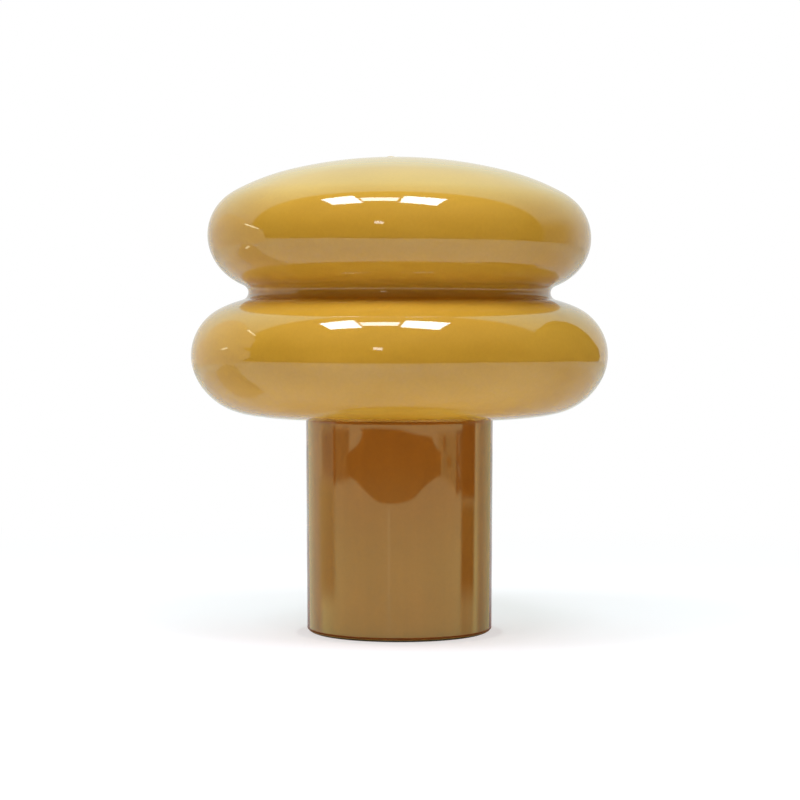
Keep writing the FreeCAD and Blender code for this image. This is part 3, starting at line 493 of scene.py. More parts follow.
def foot_foam():
    """Closed-cell foam: dark, matt, with fine pits."""
    m, n, p = material("foot_foam", IOR=1.45, Specular_IOR_Level=0.25, Sheen_Weight=0.15, Sheen_Roughness=0.6)
    w = n.where()
    cell = n.cells(w, 1500.0)
    pit = n.mapped(cell, 0.10, 0.55, 0.0, 1.0, smooth=True)
    broad = n.mapped(n.noise(w, 40.0, 4.0, 0.6), 0.3, 0.7, 0.0, 1.0)
    base = n.mix(broad, (0.028, 0.026, 0.024), (0.046, 0.043, 0.040))
    n.feed(p.inputs["Base Color"], n.mix(n.math("MULTIPLY", pit, 0.5), base, (0.016, 0.015, 0.014)))
    n.feed(p.inputs["Roughness"], n.mapped(broad, 0.0, 1.0, 0.80, 0.95))
    n.feed(p.inputs["Normal"], n.bump(cell, 0.7, 0.0004, n.bump(n.noise(w, 260.0, 3.0), 0.3, 0.0006)))
    return m


def powder_coat():
    """Dark brown powder coat with its orange peel, worn a little thinner here and there."""
    m, n, p = material("pan_steel", IOR=1.5)
    w = n.where()
    c = n.mapped(n.noise(w, 30.0, 4.0, 0.6), 0.32, 0.68, 0.0, 1.0)
    n.feed(p.inputs["Base Color"], n.mix(c, (0.040, 0.035, 0.030), (0.060, 0.053, 0.046)))
    n.feed(p.inputs["Roughness"], n.mapped(n.noise(w, 120.0, 3.0), 0.3, 0.7, 0.42, 0.58))
    fine = n.bump(n.noise(w, 2600.0, 1.0), 0.35, 0.00006)
    n.feed(p.inputs["Normal"], n.bump(n.noise(w, 800.0, 2.0, 0.55), 0.45, 0.00015, fine))
    return m


def cast_iron():
    """Sand-cast iron: grey with a rough skin and a few brown specks of rust."""
    m, n, p = material("ballast_iron", Metallic=0.85, IOR=1.5)
    w = n.where()
    c = n.mapped(n.noise(w, 60.0, 5.0, 0.65), 0.3, 0.7, 0.0, 1.0)
    grey = n.mix(c, (0.075, 0.073, 0.070), (0.135, 0.132, 0.127))
    rust = n.mapped(n.noise(n.scaled(w, (1.0, 1.0, 1.0), (0.7, 0.2, 0.4)), 85.0, 5.0, 0.7), 0.62, 0.74, 0.0, 0.7, smooth=True)
    n.feed(p.inputs["Base Color"], n.mix(rust, grey, (0.120, 0.055, 0.025)))
    n.feed(p.inputs["Roughness"], n.mapped(c, 0.0, 1.0, 0.82, 0.58))
    grain = n.bump(n.noise(w, 1100.0, 4.0, 0.65), 0.6, 0.0004)
    n.feed(p.inputs["Normal"], n.bump(n.cells(w, 420.0), 0.3, 0.0004, grain))
    return m


def zinc_plate(name, thread=False):
    """Zinc-plated steel: pale, faintly clouded, with turning lines, or the thread of the rod."""
    m, n, p = material(name, Metallic=1.0)
    w = n.where()
    c = n.mapped(n.noise(w, 90.0, 4.0, 0.6, 0.6), 0.3, 0.7, 0.0, 1.0)
    n.feed(p.inputs["Base Color"], n.mix(c, (0.55, 0.555, 0.55), (0.70, 0.70, 0.675)))
    scratch = n.noise(n.scaled(w, (1.0, 1.0, 14.0)), 240.0, 3.0, 0.6)
    n.feed(p.inputs["Roughness"], n.mapped(scratch, 0.3, 0.7, 0.24, 0.42))
    lines = n.bump(scratch, 0.2, 0.00006)
    if thread:
        # the thread's pitch is 1 mm
        lines = n.bump(n.wave(w, 314.16, "Z"), 1.0, 0.0005, lines)
    n.feed(p.inputs["Normal"], lines)
    return m


def black_plastic():
    """Black thermoset moulding with a fine spark-eroded grain and paler flow marks."""
    m, n, p = material("holder_plastic", IOR=1.5, Specular_IOR_Level=0.45)
    w = n.where()
    c = n.mapped(n.noise(n.scaled(w, (1.0, 1.0, 0.5)), 45.0, 4.0, 0.6, 0.8), 0.3, 0.7, 0.0, 1.0)
    n.feed(p.inputs["Base Color"], n.mix(c, (0.028, 0.027, 0.026), (0.044, 0.043, 0.041)))
    n.feed(p.inputs["Roughness"], n.mapped(n.noise(w, 210.0, 3.0), 0.3, 0.7, 0.34, 0.52))
    n.feed(p.inputs["Normal"], n.bump(n.noise(w, 2200.0, 2.0, 0.6), 0.3, 0.00008))
    return m


def enamel():
    """Off-white stoved enamel on pressed steel, with a slight orange peel and a few specks."""
    m, n, p = material("gallery_metal", IOR=1.5, Coat_Weight=0.35, Coat_Roughness=0.08, Coat_IOR=1.5)
    w = n.where()
    c = n.mapped(n.noise(w, 24.0, 3.0, 0.55), 0.3, 0.7, 0.0, 1.0)
    pale = n.mix(c, (0.800, 0.780, 0.725), (0.860, 0.840, 0.790))
    speck = n.mapped(n.cells(w, 210.0), 0.03, 0.07, 0.55, 0.0, smooth=True)
    n.feed(p.inputs["Base Color"], n.mix(speck, pale, (0.52, 0.47, 0.38)))
    n.feed(p.inputs["Roughness"], n.mapped(n.noise(w, 130.0, 2.0), 0.3, 0.7, 0.22, 0.36))
    n.feed(p.inputs["Normal"], n.bump(n.noise(w, 420.0, 2.0, 0.5), 0.25, 0.00018))
    return m


def porcelain():
    """Glazed porcelain, a little uneven, with iron specks."""
    m, n, p = material("holder_ceramic", IOR=1.52)
    w = n.where()
    c = n.mapped(n.noise(w, 70.0, 3.0, 0.5), 0.3, 0.7, 0.0, 1.0)
    pale = n.mix(c, (0.820, 0.795, 0.740), (0.880, 0.860, 0.815))
    speck = n.mapped(n.cells(w, 620.0), 0.04, 0.09, 0.6, 0.0, smooth=True)
    n.feed(p.inputs["Base Color"], n.mix(speck, pale, (0.36, 0.28, 0.20)))
    n.feed(p.inputs["Roughness"], n.mapped(n.noise(w, 260.0, 2.0), 0.3, 0.7, 0.16, 0.32))
    n.feed(p.inputs["Normal"], n.bump(n.noise(w, 500.0, 2.0), 0.3, 0.00015))
    return m


def brass():
    """Stamped brass with rolling lines and a brown tarnish in patches."""
    m, n, p = material("contact_brass", Metallic=1.0)
    w = n.where()
    c = n.mapped(n.noise(w, 130.0, 4.0, 0.6, 0.4), 0.35, 0.70, 0.0, 1.0)
    n.feed(p.inputs["Base Color"], n.mix(c, (0.790, 0.600, 0.285), (0.600, 0.415, 0.180)))
    lines = n.noise(n.scaled(w, (1.0, 1.0, 16.0)), 300.0, 2.0, 0.6)
    n.feed(p.inputs["Roughness"], n.mapped(lines, 0.3, 0.7, 0.20, 0.38))
    n.feed(p.inputs["Normal"], n.bump(lines, 0.25, 0.00005))
    return m


def cap_metal():
    """Nickel-plated cap of the bulb, with fine rolling lines and finger marks."""
    m, n, p = material("bulb_cap_metal", Metallic=1.0)
    w = n.where()
    c = n.mapped(n.noise(w, 80.0, 4.0, 0.6), 0.3, 0.7, 0.0, 1.0)
    n.feed(p.inputs["Base Color"], n.mix(c, (0.745, 0.740, 0.725), (0.830, 0.825, 0.810)))
    lines = n.noise(n.scaled(w, (1.0, 1.0, 22.0)), 260.0, 3.0, 0.55)
    marks = n.mapped(n.noise(w, 150.0, 3.0, 0.5), 0.5, 0.7, 0.0, 0.12)
    n.feed(p.inputs["Roughness"], n.math("ADD", n.mapped(lines, 0.3, 0.7, 0.14, 0.26), marks))
    n.feed(p.inputs["Normal"], n.bump(lines, 0.2, 0.00005))
    return m


def solder():
    """The tinned tip of the bulb: a flattened lump of solder."""
    m, n, p = material("bulb_tin", Metallic=1.0)
    w = n.where()
    c = n.mapped(n.noise(w, 420.0, 3.0, 0.6), 0.3, 0.7, 0.0, 1.0)
    n.feed(p.inputs["Base Color"], n.mix(c, (0.56, 0.56, 0.55), (0.76, 0.76, 0.735)))
    n.feed(p.inputs["Roughness"], n.mapped(c, 0.0, 1.0, 0.48, 0.24))
    n.feed(p.inputs["Normal"], n.bump(n.noise(w, 320.0, 3.0, 0.5, 0.5), 0.8, 0.0004))
    return m


def black_glass():
    """Black pressed glass between the bulb's cap and its tip."""
    m, n, p = material("bulb_black_glass", IOR=1.6)
    w = n.where()
    c = n.mapped(n.noise(w, 260.0, 3.0, 0.6), 0.3, 0.7, 0.0, 1.0)
    n.feed(p.inputs["Base Color"], n.mix(c, (0.010, 0.010, 0.012), (0.022, 0.020, 0.026)))
    n.feed(p.inputs["Roughness"], n.mapped(c, 0.0, 1.0, 0.06, 0.16))
    n.feed(p.inputs["Normal"], n.bump(n.noise(w, 380.0, 2.0), 0.4, 0.0002))
    return m


def clear_glass():
    """Clear blown glass: almost colourless, with slight waves and rare seeds."""
    m, n, p = material("bulb_clear_glass", IOR=1.52, Transmission_Weight=1.0)
    w = n.where()
    c = n.mapped(n.noise(w, 40.0, 2.0), 0.3, 0.7, 0.0, 1.0)
    n.feed(p.inputs["Base Color"], n.mix(c, (0.965, 0.985, 0.980), (0.985, 0.995, 0.995)))
    n.feed(p.inputs["Roughness"], n.mapped(n.noise(w, 60.0, 2.0), 0.3, 0.7, 0.0, 0.012))
    seeds = n.mapped(n.cells(w, 300.0), 0.0, 0.05, 1.0, 0.0, smooth=True)
    waves = n.bump(n.noise(w, 45.0, 1.0), 0.08, 0.0006)
    n.feed(p.inputs["Normal"], n.bump(seeds, 0.15, 0.0001, waves))
    return m


def wire():
    """Bare support wire, dulled where it was welded."""
    m, n, p = material("bulb_wire", Metallic=1.0)
    w = n.where()
    c = n.mapped(n.noise(w, 260.0, 3.0, 0.6), 0.3, 0.7, 0.0, 1.0)
    n.feed(p.inputs["Base Color"], n.mix(c, (0.46, 0.43, 0.39), (0.62, 0.59, 0.55)))
    n.feed(p.inputs["Roughness"], n.mapped(c, 0.0, 1.0, 0.42, 0.26))
    n.feed(p.inputs["Normal"], n.bump(n.noise(w, 1500.0, 2.0), 0.3, 0.00004))
    return m


def phosphor():
    """Yellow phosphor in silicone, grainy, over the filament's chips."""
    m, n, p = material("filament", IOR=1.42, Subsurface_Weight=0.0)
    w = n.where()
    c = n.mapped(n.noise(w, 1500.0, 3.0, 0.6), 0.3, 0.7, 0.0, 1.0)
    chips = n.mapped(n.wave(w, 180.0, "Z"), 0.2, 0.8, 0.0, 0.35)
    tone = n.mix(c, (0.820, 0.560, 0.110), (0.900, 0.680, 0.210))
    n.feed(p.inputs["Base Color"], n.mix(chips, tone, (0.780, 0.450, 0.060)))
    n.feed(p.inputs["Roughness"], n.mapped(c, 0.0, 1.0, 0.38, 0.55))
    n.feed(p.inputs["Normal"], n.bump(n.noise(w, 900.0, 2.0), 0.4, 0.0001))
    return m


def finish(mat, *names):
    for name in names:
        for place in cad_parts[name].material_slots:
            place.material = mat


SEAL, ZINC, PLASTIC, BRASS, CLEAR, WIRE = seal_rubber(), zinc_plate("zinc_steel"), black_plastic(), brass(), clear_glass(), wire()
CAP_METAL, PHOSPHOR = cap_metal(), phosphor()
finish(SEAL, "rim_gasket", "neck_gasket", "shade_seat_ring")
finish(foot_foam(), "foot_pad")
finish(powder_coat(), "base_pan")
finish(cast_iron(), "ballast_weight")
finish(ZINC, "rod_lock_washer", "rod_foot_nut", "ballast_washer", "ballast_nut", "gallery_nut", "terminal_screws")
finish(zinc_plate("rod_thread", thread=True), "stem_rod")
finish(PLASTIC, "neck_bush", "holder_cap", "holder_sleeve", "cord_inlet_bush", "cord_inlet_nut")
finish(enamel(), "shade_gallery")
finish(porcelain(), "holder_core")
finish(BRASS, "holder_screw_shell", "holder_centre_contact", "holder_terminals")
finish(solder(), "bulb_contact")
finish(black_glass(), "bulb_insulator")
finish(CAP_METAL, "bulb_cap")
finish(CLEAR, "bulb_envelope", "bulb_stem")
finish(WIRE, "bulb_leads")
finish(PHOSPHOR, "bulb_filaments")


# ================================================================ pieces inside the lamp
def stands_for(piece, node, body):
    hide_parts(node)
    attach(piece, body)


def cut_corners(points, rounds):
    """Softens a line by cutting its corners again and again; the ends stay."""
    p = [np.array(q, float) for q in points]
    for _ in range(rounds):
        q = [p[0]]
        for a, b in zip(p[:-1], p[1:]):
            q += [0.75 * a + 0.25 * b, 0.25 * a + 0.75 * b]
        q.append(p[-1])
        p = q
    return [tuple(q) for q in p]


# ---------------------------------------------------------------- the ring that the shade sits on
ring = [(51.4, 153.4), (66.6, 153.4), (66.6, 154.1), (51.4, 154.1)]
ring = rounded(ring, ring[:], 0.3, 4)
stands_for(lathe("seat_ring", ring, [SEAL], segments=160, sharp=50), "shade_seat_ring", "base")

# ---------------------------------------------------------------- the screw thread of the cap and the holder
TIP = 187.15
PITCH = 3.629


def thread_phase(x, y, h):
    """Where a point lies in the right-handed thread's round: 0 at the root."""
    return 2 * math.pi * h / PITCH - math.atan2(y, x)


def eased(t):
    t = min(1.0, max(0.0, t))
    return t * t * (3 - 2 * t)


ROOT, CREST = 12.1, 13.05
cap_line = [(10.85, 4.3), (11.6, 4.3), (ROOT, 5.2)]
first = len(cap_line)
cap_line += [(ROOT, 5.2 + 0.30 * k) for k in range(1, 48)]
last = len(cap_line)
cap_line += [(ROOT, 19.75), (12.5, 20.6), (12.9, 21.6), (13.2, 22.6), (13.7, 23.0), (14.3, 23.6), (14.3, 24.8), (13.9, 24.8), (13.9, 24.0), (12.6, 23.0), (11.6, 21.6), (11.6, 6.2), (10.85, 6.2)]
cap_line = [(rr, zz + TIP) for rr, zz in cap_line]


def cap_shift(i, x, y, h):
    if not first <= i < last:
        return x, y, h
    at = h - TIP
    depth = (CREST - ROOT) * eased((at - 5.2) / 2.2) * eased((19.6 - at) / 2.2)
    k = 1 + depth * (0.5 - 0.5 * math.cos(thread_phase(x, y, h))) / ROOT
    return x * k, y * k, h


stands_for(lathe("bulb_screw_cap", cap_line, [CAP_METAL], segments=96, shift=cap_shift, sharp=42), "bulb_cap", "bulb")

SHELL_FOOT = 189.6
levels = [1.0 + 0.30 * k for k in range(54)]
shell_line = [(13.35, 0.0), (17.0, 0.0), (17.0, 0.4), (13.75, 0.4)]
shell_line += [(13.75, q) for q in levels] + [(13.75, 18.0), (13.35, 18.0)] + [(13.35, q) for q in levels[::-1]]
shell_line = [(rr, zz + SHELL_FOOT) for rr, zz in shell_line]
shell_rows = set(range(4, 4 + len(levels))) | set(range(6 + len(levels), 6 + 2 * len(levels)))


def shell_shift(i, x, y, h):
    """The shell follows the cap's thread with 0.3 mm of play."""
    if i not in shell_rows:
        return x, y, h
    at = h - SHELL_FOOT
    depth = (CREST - ROOT) * eased((at - 1.0) / 1.5) * eased((17.2 - at) / 1.5)
    rad = math.hypot(x, y)
    k = 1 - depth * (0.5 + 0.5 * math.cos(thread_phase(x, y, h))) / rad
    return x * k, y * k, h


stands_for(lathe("holder_thread_shell", shell_line, [BRASS], segments=96, shift=shell_shift, sharp=42), "holder_screw_shell", "base")

# ---------------------------------------------------------------- the bulb's glass
def bulb_wall(inset):
    line = []
    span, waist = math.radians(122.0), math.radians(28.0)
    for k in range(42):
        t = span * k / 41
        line.append(((30.0 - inset) * math.sin(t), 76.0 + (30.0 - inset) * math.cos(t)))
    cx, cz = 30.0 * math.sin(span) + 78.0 * math.sin(span), 76.0 + 30.0 * math.cos(span) + 78.0 * math.cos(span)
    for k in range(1, 17):
        t = span - waist * k / 16
        line.append((cx - (78.0 + inset) * math.sin(t), cz - (78.0 + inset) * math.cos(t)))
    return [(max(0.0, rr) if k else 0.0, zz + TIP) for k, (rr, zz) in enumerate(line)]


globe = bulb_wall(0.0) + bulb_wall(0.8)[::-1]
stands_for(lathe("bulb_globe", globe, [CLEAR], segments=128), "bulb_envelope", "bulb")

stem_line = cut_corners([(11.6, 24.6), (11.5, 25.1), (9.5, 26.4), (6.0, 28.2), (4.2, 31.0), (3.0, 36.0), (2.8, 41.0), (2.6, 45.0), (2.3, 46.6), (1.2, 47.0)], 3)
stem_line = [(0.0, 24.6)] + stem_line + [(0.0, 47.0)]
stands_for(lathe("bulb_mount", [(rr, zz + TIP) for rr, zz in stem_line], [CLEAR], segments=72, sharp=60), "bulb_stem", "bulb")

# ---------------------------------------------------------------- the filaments, each with its two metal ends
def one_filament(k):
    angle = math.radians(45.0 + 90.0 * k)
    foot = Vector((5.27 * math.cos(angle), 5.27 * math.sin(angle), TIP + 49.0))
    head = Vector((8.5 * math.cos(angle), 8.5 * math.sin(angle), TIP + 85.0))
    long = (head - foot).length
    half = [(0.0, 0.0), (0.42, 0.0), (0.55, 0.15), (0.55, 1.7), (0.78, 1.75), (0.93, 2.05), (1.0, 2.6)]
    line = half + [(1.0, 2.6 + (long - 5.2) * q / 12.0) for q in range(1, 12)] + [(rr, long - zz) for rr, zz in half[::-1]]
    metal = [1 if (i < 3 or i > len(line) - 5) else 0 for i in range(len(line))]

    def lumps(i, x, y, h):
        if 4 < i < len(line) - 5:
            w = 1 - 0.05 * abs(noise.noise(Vector((x * 0.9, y * 0.9, h * 0.6 + 13.0 * k))))
            return x * w, y * w, h
        return x, y, h

    ob = lathe("filament_part_%d" % k, line, [PHOSPHOR, WIRE], metal, segments=20, shift=lumps, sharp=50)
    turn = (head - foot).to_track_quat("Z", "Y").to_matrix().to_4x4()
    ob.data.transform(Matrix.Translation(foot * MM) @ turn)
    return ob


def merged(name, parts):
    bm = bmesh.new()
    mats = list(parts[0].data.materials)
    for ob in parts:
        bm.from_mesh(ob.data)
    me = bpy.data.meshes.new(name)
    bm.to_mesh(me)
    bm.free()
    for m in mats:
        me.materials.append(m)
    for ob in parts:
        old = ob.data
        bpy.data.objects.remove(ob)
        bpy.data.meshes.remove(old)
    ob = bpy.data.objects.new(name, me)
    SCENE.collection.objects.link(ob)
    return ob


stands_for(merged("bulb_filament_set", [one_filament(k) for k in range(4)]), "bulb_filaments", "bulb")

# ================================================================ stage, light and camera
# radiance of the surroundings
DARK_LOW, DARK_HIGH = (0.17, 0.093, 0.030), (0.47, 0.347, 0.210)
WALL_LEFT, WALL_RIGHT = (0.92, 0.867, 0.95), (0.51, 0.387, 0.280)
MIDDLE, CEILING_LIGHT = (0.74, 1.03, 1.05), (0.80, 1.60, 1.55)
PANEL, STRIP, WINDOW = (15.4, 18.5, 20.4), (12.5, 13.4, 14.4), (8.0, 8.2, 8.4)
BACK = (0.82, 0.85, 0.83)
SIDE_CARDS = [
    ("card_side_a", -1.20, [(1840, 200), (1700, 400), (1110, 560), (510, 590), (110, 510), (-145, 335), (-155, 170), (60, 20), (90, 0), (1750, 0)], (0.85, 0.79, 0.74)),
    ("card_side_b", -0.25, [(78, 250), (92, 272), (103, 294), (106, 318), (103, 337), (82, 352), (52, 360), (6, 352), (-39, 335), (-80, 312), (-109, 282), (-113, 240), (-86, 234), (-37, 241)], (0.86, 0.81, 0.74)),
]
# two small bright slits at the left
GLINTS = [[(-48, 316), (-54, 319), (-97, 299), (-92, 297)], [(-30, 221), (-47, 231), (-53, 225), (-37, 219)]]
# a dark shape close round the right end of the lower lobe: angle in degrees and height in mm
LOBE_SHAPE = [(36.6, 195.4), (37.2, 213.1), (41.0, 221.2), (46.6, 226.8), (51.0, 228.4), (57.0, 227.5), (61.4, 224.2), (65.7, 218.4), (68.9, 211.6), (72.2, 205.7), (73.8, 198.1), (71.9, 194.3), (62.0, 194.7), (53.5, 195.0), (44.7, 195.2)]
LOBE_TONE = (0.30, 0.19, 0.06)
# painted shadow: the lamp's shadow on the table at the left, seen only in mirror images; outline in mm
PAINTED_TABLE_SHADOW = [(-663, 315), (-1210, 310), (-927, 73), (-417, -20), (-313, -37), (-246, -30), (-233, 42), (-259, 123), (-354, 171)]
# tones of the painted shadows: the lamp's shadow on the table at the left, then the contact shadow round the foot
PAINTED_TABLE_SHADOW_TONE, FOOT_SHADOW_TONE = (0.66, 0.56, 0.50), (0.20, 0.13, 0.08)
CARD_LOW, CARD_HIGH = (2.10, 2.35, 1.05), (1.82, 1.80, 0.90)
CARD_LEFT_END, CARD_RIGHT_END = (1.10, 1.20, 0.80), (0.68, 0.80, 0.47)
# the large dark shape is a little paler towards its foot: radiance at 98 and at 128 mm
VASE = ((0.66, 0.55, 0.19), (0.40, 0.24, 0.07))
# shapes on the curved card: outline as (angle in degrees, height in mm), radiance, softness of the edge in degrees and mm
CARD_SHAPES = [
    ([(-66.4, 112.2), (-48.6, 112.2), (-48.6, 28.4), (-66.4, 26.6)], (1.20, 1.22, 0.50), (1.6, 6.0)),
    ([(-62.9, 149.6), (-48.6, 149.6), (-48.6, 111.6), (-62.9, 111.0)], (0.50, 0.66, 0.42), (1.6, 5.0)),
    ([(-48.4, 148.9), (-35.0, 149.2), (-35.0, 112.1), (-48.4, 110.2)], (0.45, 0.50, 0.22), (0.8, 2.5)),
    ([(-49.5, 149.6), (-47.2, 149.7), (-47.2, 108.2), (-49.5, 108.0)], (0.12, 0.12, 0.08), (0.5, 2.0)),
    ([(26.0, 145.2), (41.5, 144.9), (41.5, 105.0), (26.0, 117.2)], (0.95, 1.10, 0.48), (1.0, 2.5)),
    ([(40.5, 146.9), (47.0, 146.7), (47.0, 104.7), (40.5, 101.1)], (0.14, 0.22, 0.14), (0.5, 2.0)),
    ([(45.9, 34.0), (60.0, 34.0), (60.0, -20.0), (45.9, -20.0)], (1.30, 1.42, 0.62), (1.6, 4.0)),
    ([(45.9, 98.9), (60.0, 97.9), (60.0, 28.8), (45.9, 30.2)], (0.30, 0.36, 0.12), (1.2, 6.0)),
    ([(45.9, 153.0), (60.0, 153.0), (60.0, 97.9), (45.9, 98.9)], (0.04, 0.04, 0.03), (0.8, 2.0)),
    ([(-7.6, 94.0), (-6.7, 94.0), (-6.7, 0.0), (-7.6, 0.0)], (2.60, 2.95, 1.50), (0.5, 4.0)),
    ([(-26.3, 148.8), (-13.0, 149.6), (0.2, 148.4), (10.1, 144.8), (21.8, 142.6), (23.2, 138.3), (25.5, 134.1), (28.4, 132.0), (28.4, 115.2), (24.7, 113.9), (19.0, 109.9), (13.5, 104.5),
      (9.5, 99.6), (4.9, 97.6), (-1.7, 96.2), (-9.6, 96.1), (-15.0, 97.4), (-19.8, 101.5), (-25.6, 106.9), (-30.1, 111.7), (-34.0, 113.7), (-37.2, 114.9),
      (-37.2, 129.6), (-33.2, 133.2), (-29.3, 136.2), (-26.3, 140.4), (-24.9, 145.4)], VASE, (0.6, 0.8)),
    ([(30.2, 142.8), (31.9, 142.8), (31.9, 132.9), (30.2, 132.9)], (0.30, 0.24, 0.15), (0.4, 1.0)),
    ([(32.3, 128.0), (36.0, 129.4), (37.2, 123.0), (33.9, 120.1)], (0.35, 0.45, 0.18), (0.5, 1.0)),
    ([(42.1, 144.7), (43.2, 144.7), (44.0, 129.9), (42.9, 128.9)], (0.90, 1.00, 0.60), (0.4, 1.0)),
    ([(41.7, 122.0), (43.3, 122.5), (44.9, 114.2), (43.7, 113.2)], (0.90, 1.00, 0.60), (0.4, 1.0)),
]

# The table: a pale top that ends in front of the lamp, where mirror images see the dark room instead.
TABLE_EDGE = [(-1.75, 2.5), (-1.75, 0.05), (-1.52, -0.17), (-1.10, -0.55), (-0.66, -0.86), (-0.30, -0.94), (0.0, -0.965), (0.35, -0.95), (0.80, -0.83), (1.25, -0.45), (1.60, 0.20), (1.75, 0.70), (1.75, 2.5)]


def patch(name, corners, faces, mat, camera=False, glossy=False, diffuse=False, shadow=False):
    me = bpy.data.meshes.new(name)
    me.from_pydata(corners, [], faces)
    me.materials.append(mat)
    ob = bpy.data.objects.new(name, me)
    SCENE.collection.objects.link(ob)
    ob.visible_camera, ob.visible_glossy, ob.visible_diffuse, ob.visible_shadow = camera, glossy, diffuse, shadow
    ob.visible_transmission = camera
    return ob


def stage_material(name, albedo=None, glow=None, fade=None, painted_shade_tone=None):
    """A matt stage surface: diffuse and glowing parts added, painted shade where asked, and a fade to plain white far
    off.
    """
    m = bpy.data.materials.new(name)
    m.use_nodes = True
    t = m.node_tree
    t.nodes.clear()
    n = Nodes(t)
    out = n.add("ShaderNodeOutputMaterial")
    shader = None
    if albedo is not None:
        d = n.add("ShaderNodeBsdfDiffuse")
        g = n.mapped(n.noise(n.where(), 90.0, 3.0), 0.3, 0.7, 0.0, 1.0)
        colour = n.mix(g, tuple(c * 0.985 for c in albedo), albedo)
        if painted_shade_tone is not None:
            # painted shade: the table is darker beside and behind the lamp, where the lamp's shadow falls
            at = n.add("ShaderNodeSeparateXYZ")
            n.feed(at.inputs[0], n.where())
            span = n.add("ShaderNodeVectorMath", operation="LENGTH")
            n.feed(span.inputs[0], n.where())
            painted_shade = n.math("MULTIPLY", n.mapped(at.outputs[1], -0.14, 0.08, 0.0, 1.0, smooth=True), n.mapped(span.outputs["Value"], 0.45, 1.2, 1.0, 0.0, smooth=True))
            colour = n.mix(painted_shade, colour, painted_shade_tone)
        n.feed(d.inputs["Color"], colour)
        shader = d.outputs[0]
    if glow is not None:
        e = n.add("ShaderNodeEmission")
        e.inputs["Color"].default_value = tuple(glow) + (1.0,)
        e.inputs["Strength"].default_value = 1.0
        if shader is None:
            shader = e.outputs[0]
        else:
            both = n.add("ShaderNodeAddShader")
            t.links.new(shader, both.inputs[0])
            t.links.new(e.outputs[0], both.inputs[1])
            shader = both.outputs[0]
    if fade is not None:
        e = n.add("ShaderNodeEmission")
        e.inputs["Color"].default_value = (1.0, 1.0, 1.0, 1.0)
        e.inputs["Strength"].default_value = fade[2]
        length = n.add("ShaderNodeVectorMath", operation="LENGTH")
        n.feed(length.inputs[0], n.where())
        far = n.mapped(length.outputs["Value"], fade[0], fade[1], 0.0, 1.0, smooth=True)
        mix = n.add("ShaderNodeMixShader")
        t.links.new(far, mix.inputs[0])
        t.links.new(shader, mix.inputs[1])
        t.links.new(e.outputs[0], mix.inputs[2])
        shader = mix.outputs[0]
    t.links.new(shader, out.inputs["Surface"])
    return m


FLOOR = stage_material("pale_floor", albedo=(0.420, 0.365, 0.385), glow=(0.60, 0.60, 0.60), fade=(0.25, 0.95, 1.0))
# the table carries painted shade beside and behind the lamp
TABLE = stage_material("pale_table", albedo=(0.88, 0.87, 0.83), glow=(0.10, 0.03, 0.09), painted_shade_tone=(0.56, 0.53, 0.50))
patch("floor", [(-9, -9, -0.0003), (9, -9, -0.0003), (9, 9, -0.0003), (-9, 9, -0.0003)], [(0, 1, 2, 3)], FLOOR, camera=True)
patch("table", [(x, y, -0.0004) for x, y in TABLE_EDGE], [tuple(range(len(TABLE_EDGE)))], TABLE, glossy=True, diffuse=True, shadow=True)

world = bpy.data.worlds.new("studio")
SCENE.world = world
world.use_nodes = True
world.node_tree.nodes.clear()
n = Nodes(world.node_tree)
out = n.add("ShaderNodeOutputWorld")
coord = n.add("ShaderNodeTexCoord").outputs["Generated"]
xyz = n.add("ShaderNodeSeparateXYZ")
n.feed(xyz.inputs[0], coord)
X, Y, Z = xyz.outputs


def named_mix(label, fac, a, b):
    socket = n.mix(fac, a, b)
    socket.node.label = label
    return socket


# the room in front is dark up to a bound that leans forward with height
bound = n.math("ADD", n.math("MULTIPLY", Z, -0.03), n.math("MULTIPLY", X, -0.04))
bound = n.math("ADD", bound, 0.10)
past = n.math("SUBTRACT", Y, bound)
white = n.mapped(past, -0.02, 0.05, 0.0, 1.0, smooth=True)
dark = named_mix("dark", n.mapped(Z, 0.25, 0.80, 0.0, 1.0, smooth=True), DARK_LOW, DARK_HIGH)
# behind it a pale wall, dimmer on the right, and a bright ceiling
wall = named_mix("wall", n.mapped(X, -0.25, 0.45, 0.0, 1.0, smooth=True), WALL_LEFT, WALL_RIGHT)
wall = named_mix("back", n.mapped(Y, 0.32, 0.75, 0.0, 1.0, smooth=True), wall, BACK)
middle = named_mix("middle", n.mapped(Z, 0.12, 0.50, 0.0, 1.0, smooth=True), wall, MIDDLE)
pale = named_mix("ceiling", n.mapped(Z, 0.50, 0.95, 0.0, 1.0, smooth=True), middle, CEILING_LIGHT)
radiance = n.mix(white, dark, pale)
lit = n.add("ShaderNodeBackground")
n.feed(lit.inputs["Color"], radiance)
lit.inputs["Strength"].default_value = 1.0
seen = n.add("ShaderNodeBackground")
seen.inputs["Color"].default_value = (1.0, 1.0, 1.0, 1.0)
seen.inputs["Strength"].default_value = 1.0
path = n.add("ShaderNodeLightPath")
mix = n.add("ShaderNodeMixShader")
world.node_tree.links.new(path.outputs["Is Camera Ray"], mix.inputs[0])
world.node_tree.links.new(lit.outputs[0], mix.inputs[1])
world.node_tree.links.new(seen.outputs[0], mix.inputs[2])
world.node_tree.links.new(mix.outputs[0], out.inputs["Surface"])


def glow(name, colour):
    """An evenly glowing stage surface."""
    m = bpy.data.materials.new(name)
    m.use_nodes = True
    t = m.node_tree
    t.nodes.clear()
    n = Nodes(t)
    out = n.add("ShaderNodeOutputMaterial")
    e = n.add("ShaderNodeEmission")
    e.inputs["Color"].default_value = tuple(colour) + (1.0,)
    e.inputs["Strength"].default_value = 1.0
    t.links.new(e.outputs[0], out.inputs["Surface"])
    return m


# ---- lights overhead, in front: two panels and a narrow strip between them, and a small far window
HIGH = 1.60


def overhead(name, corners, colour):
    """A panel at the ceiling's height, from corners in (x, y)."""
    return patch(name, [(x, y, HIGH) for x, y in corners], [tuple(range(len(corners)))], glow(name, colour), glossy=True, diffuse=True)


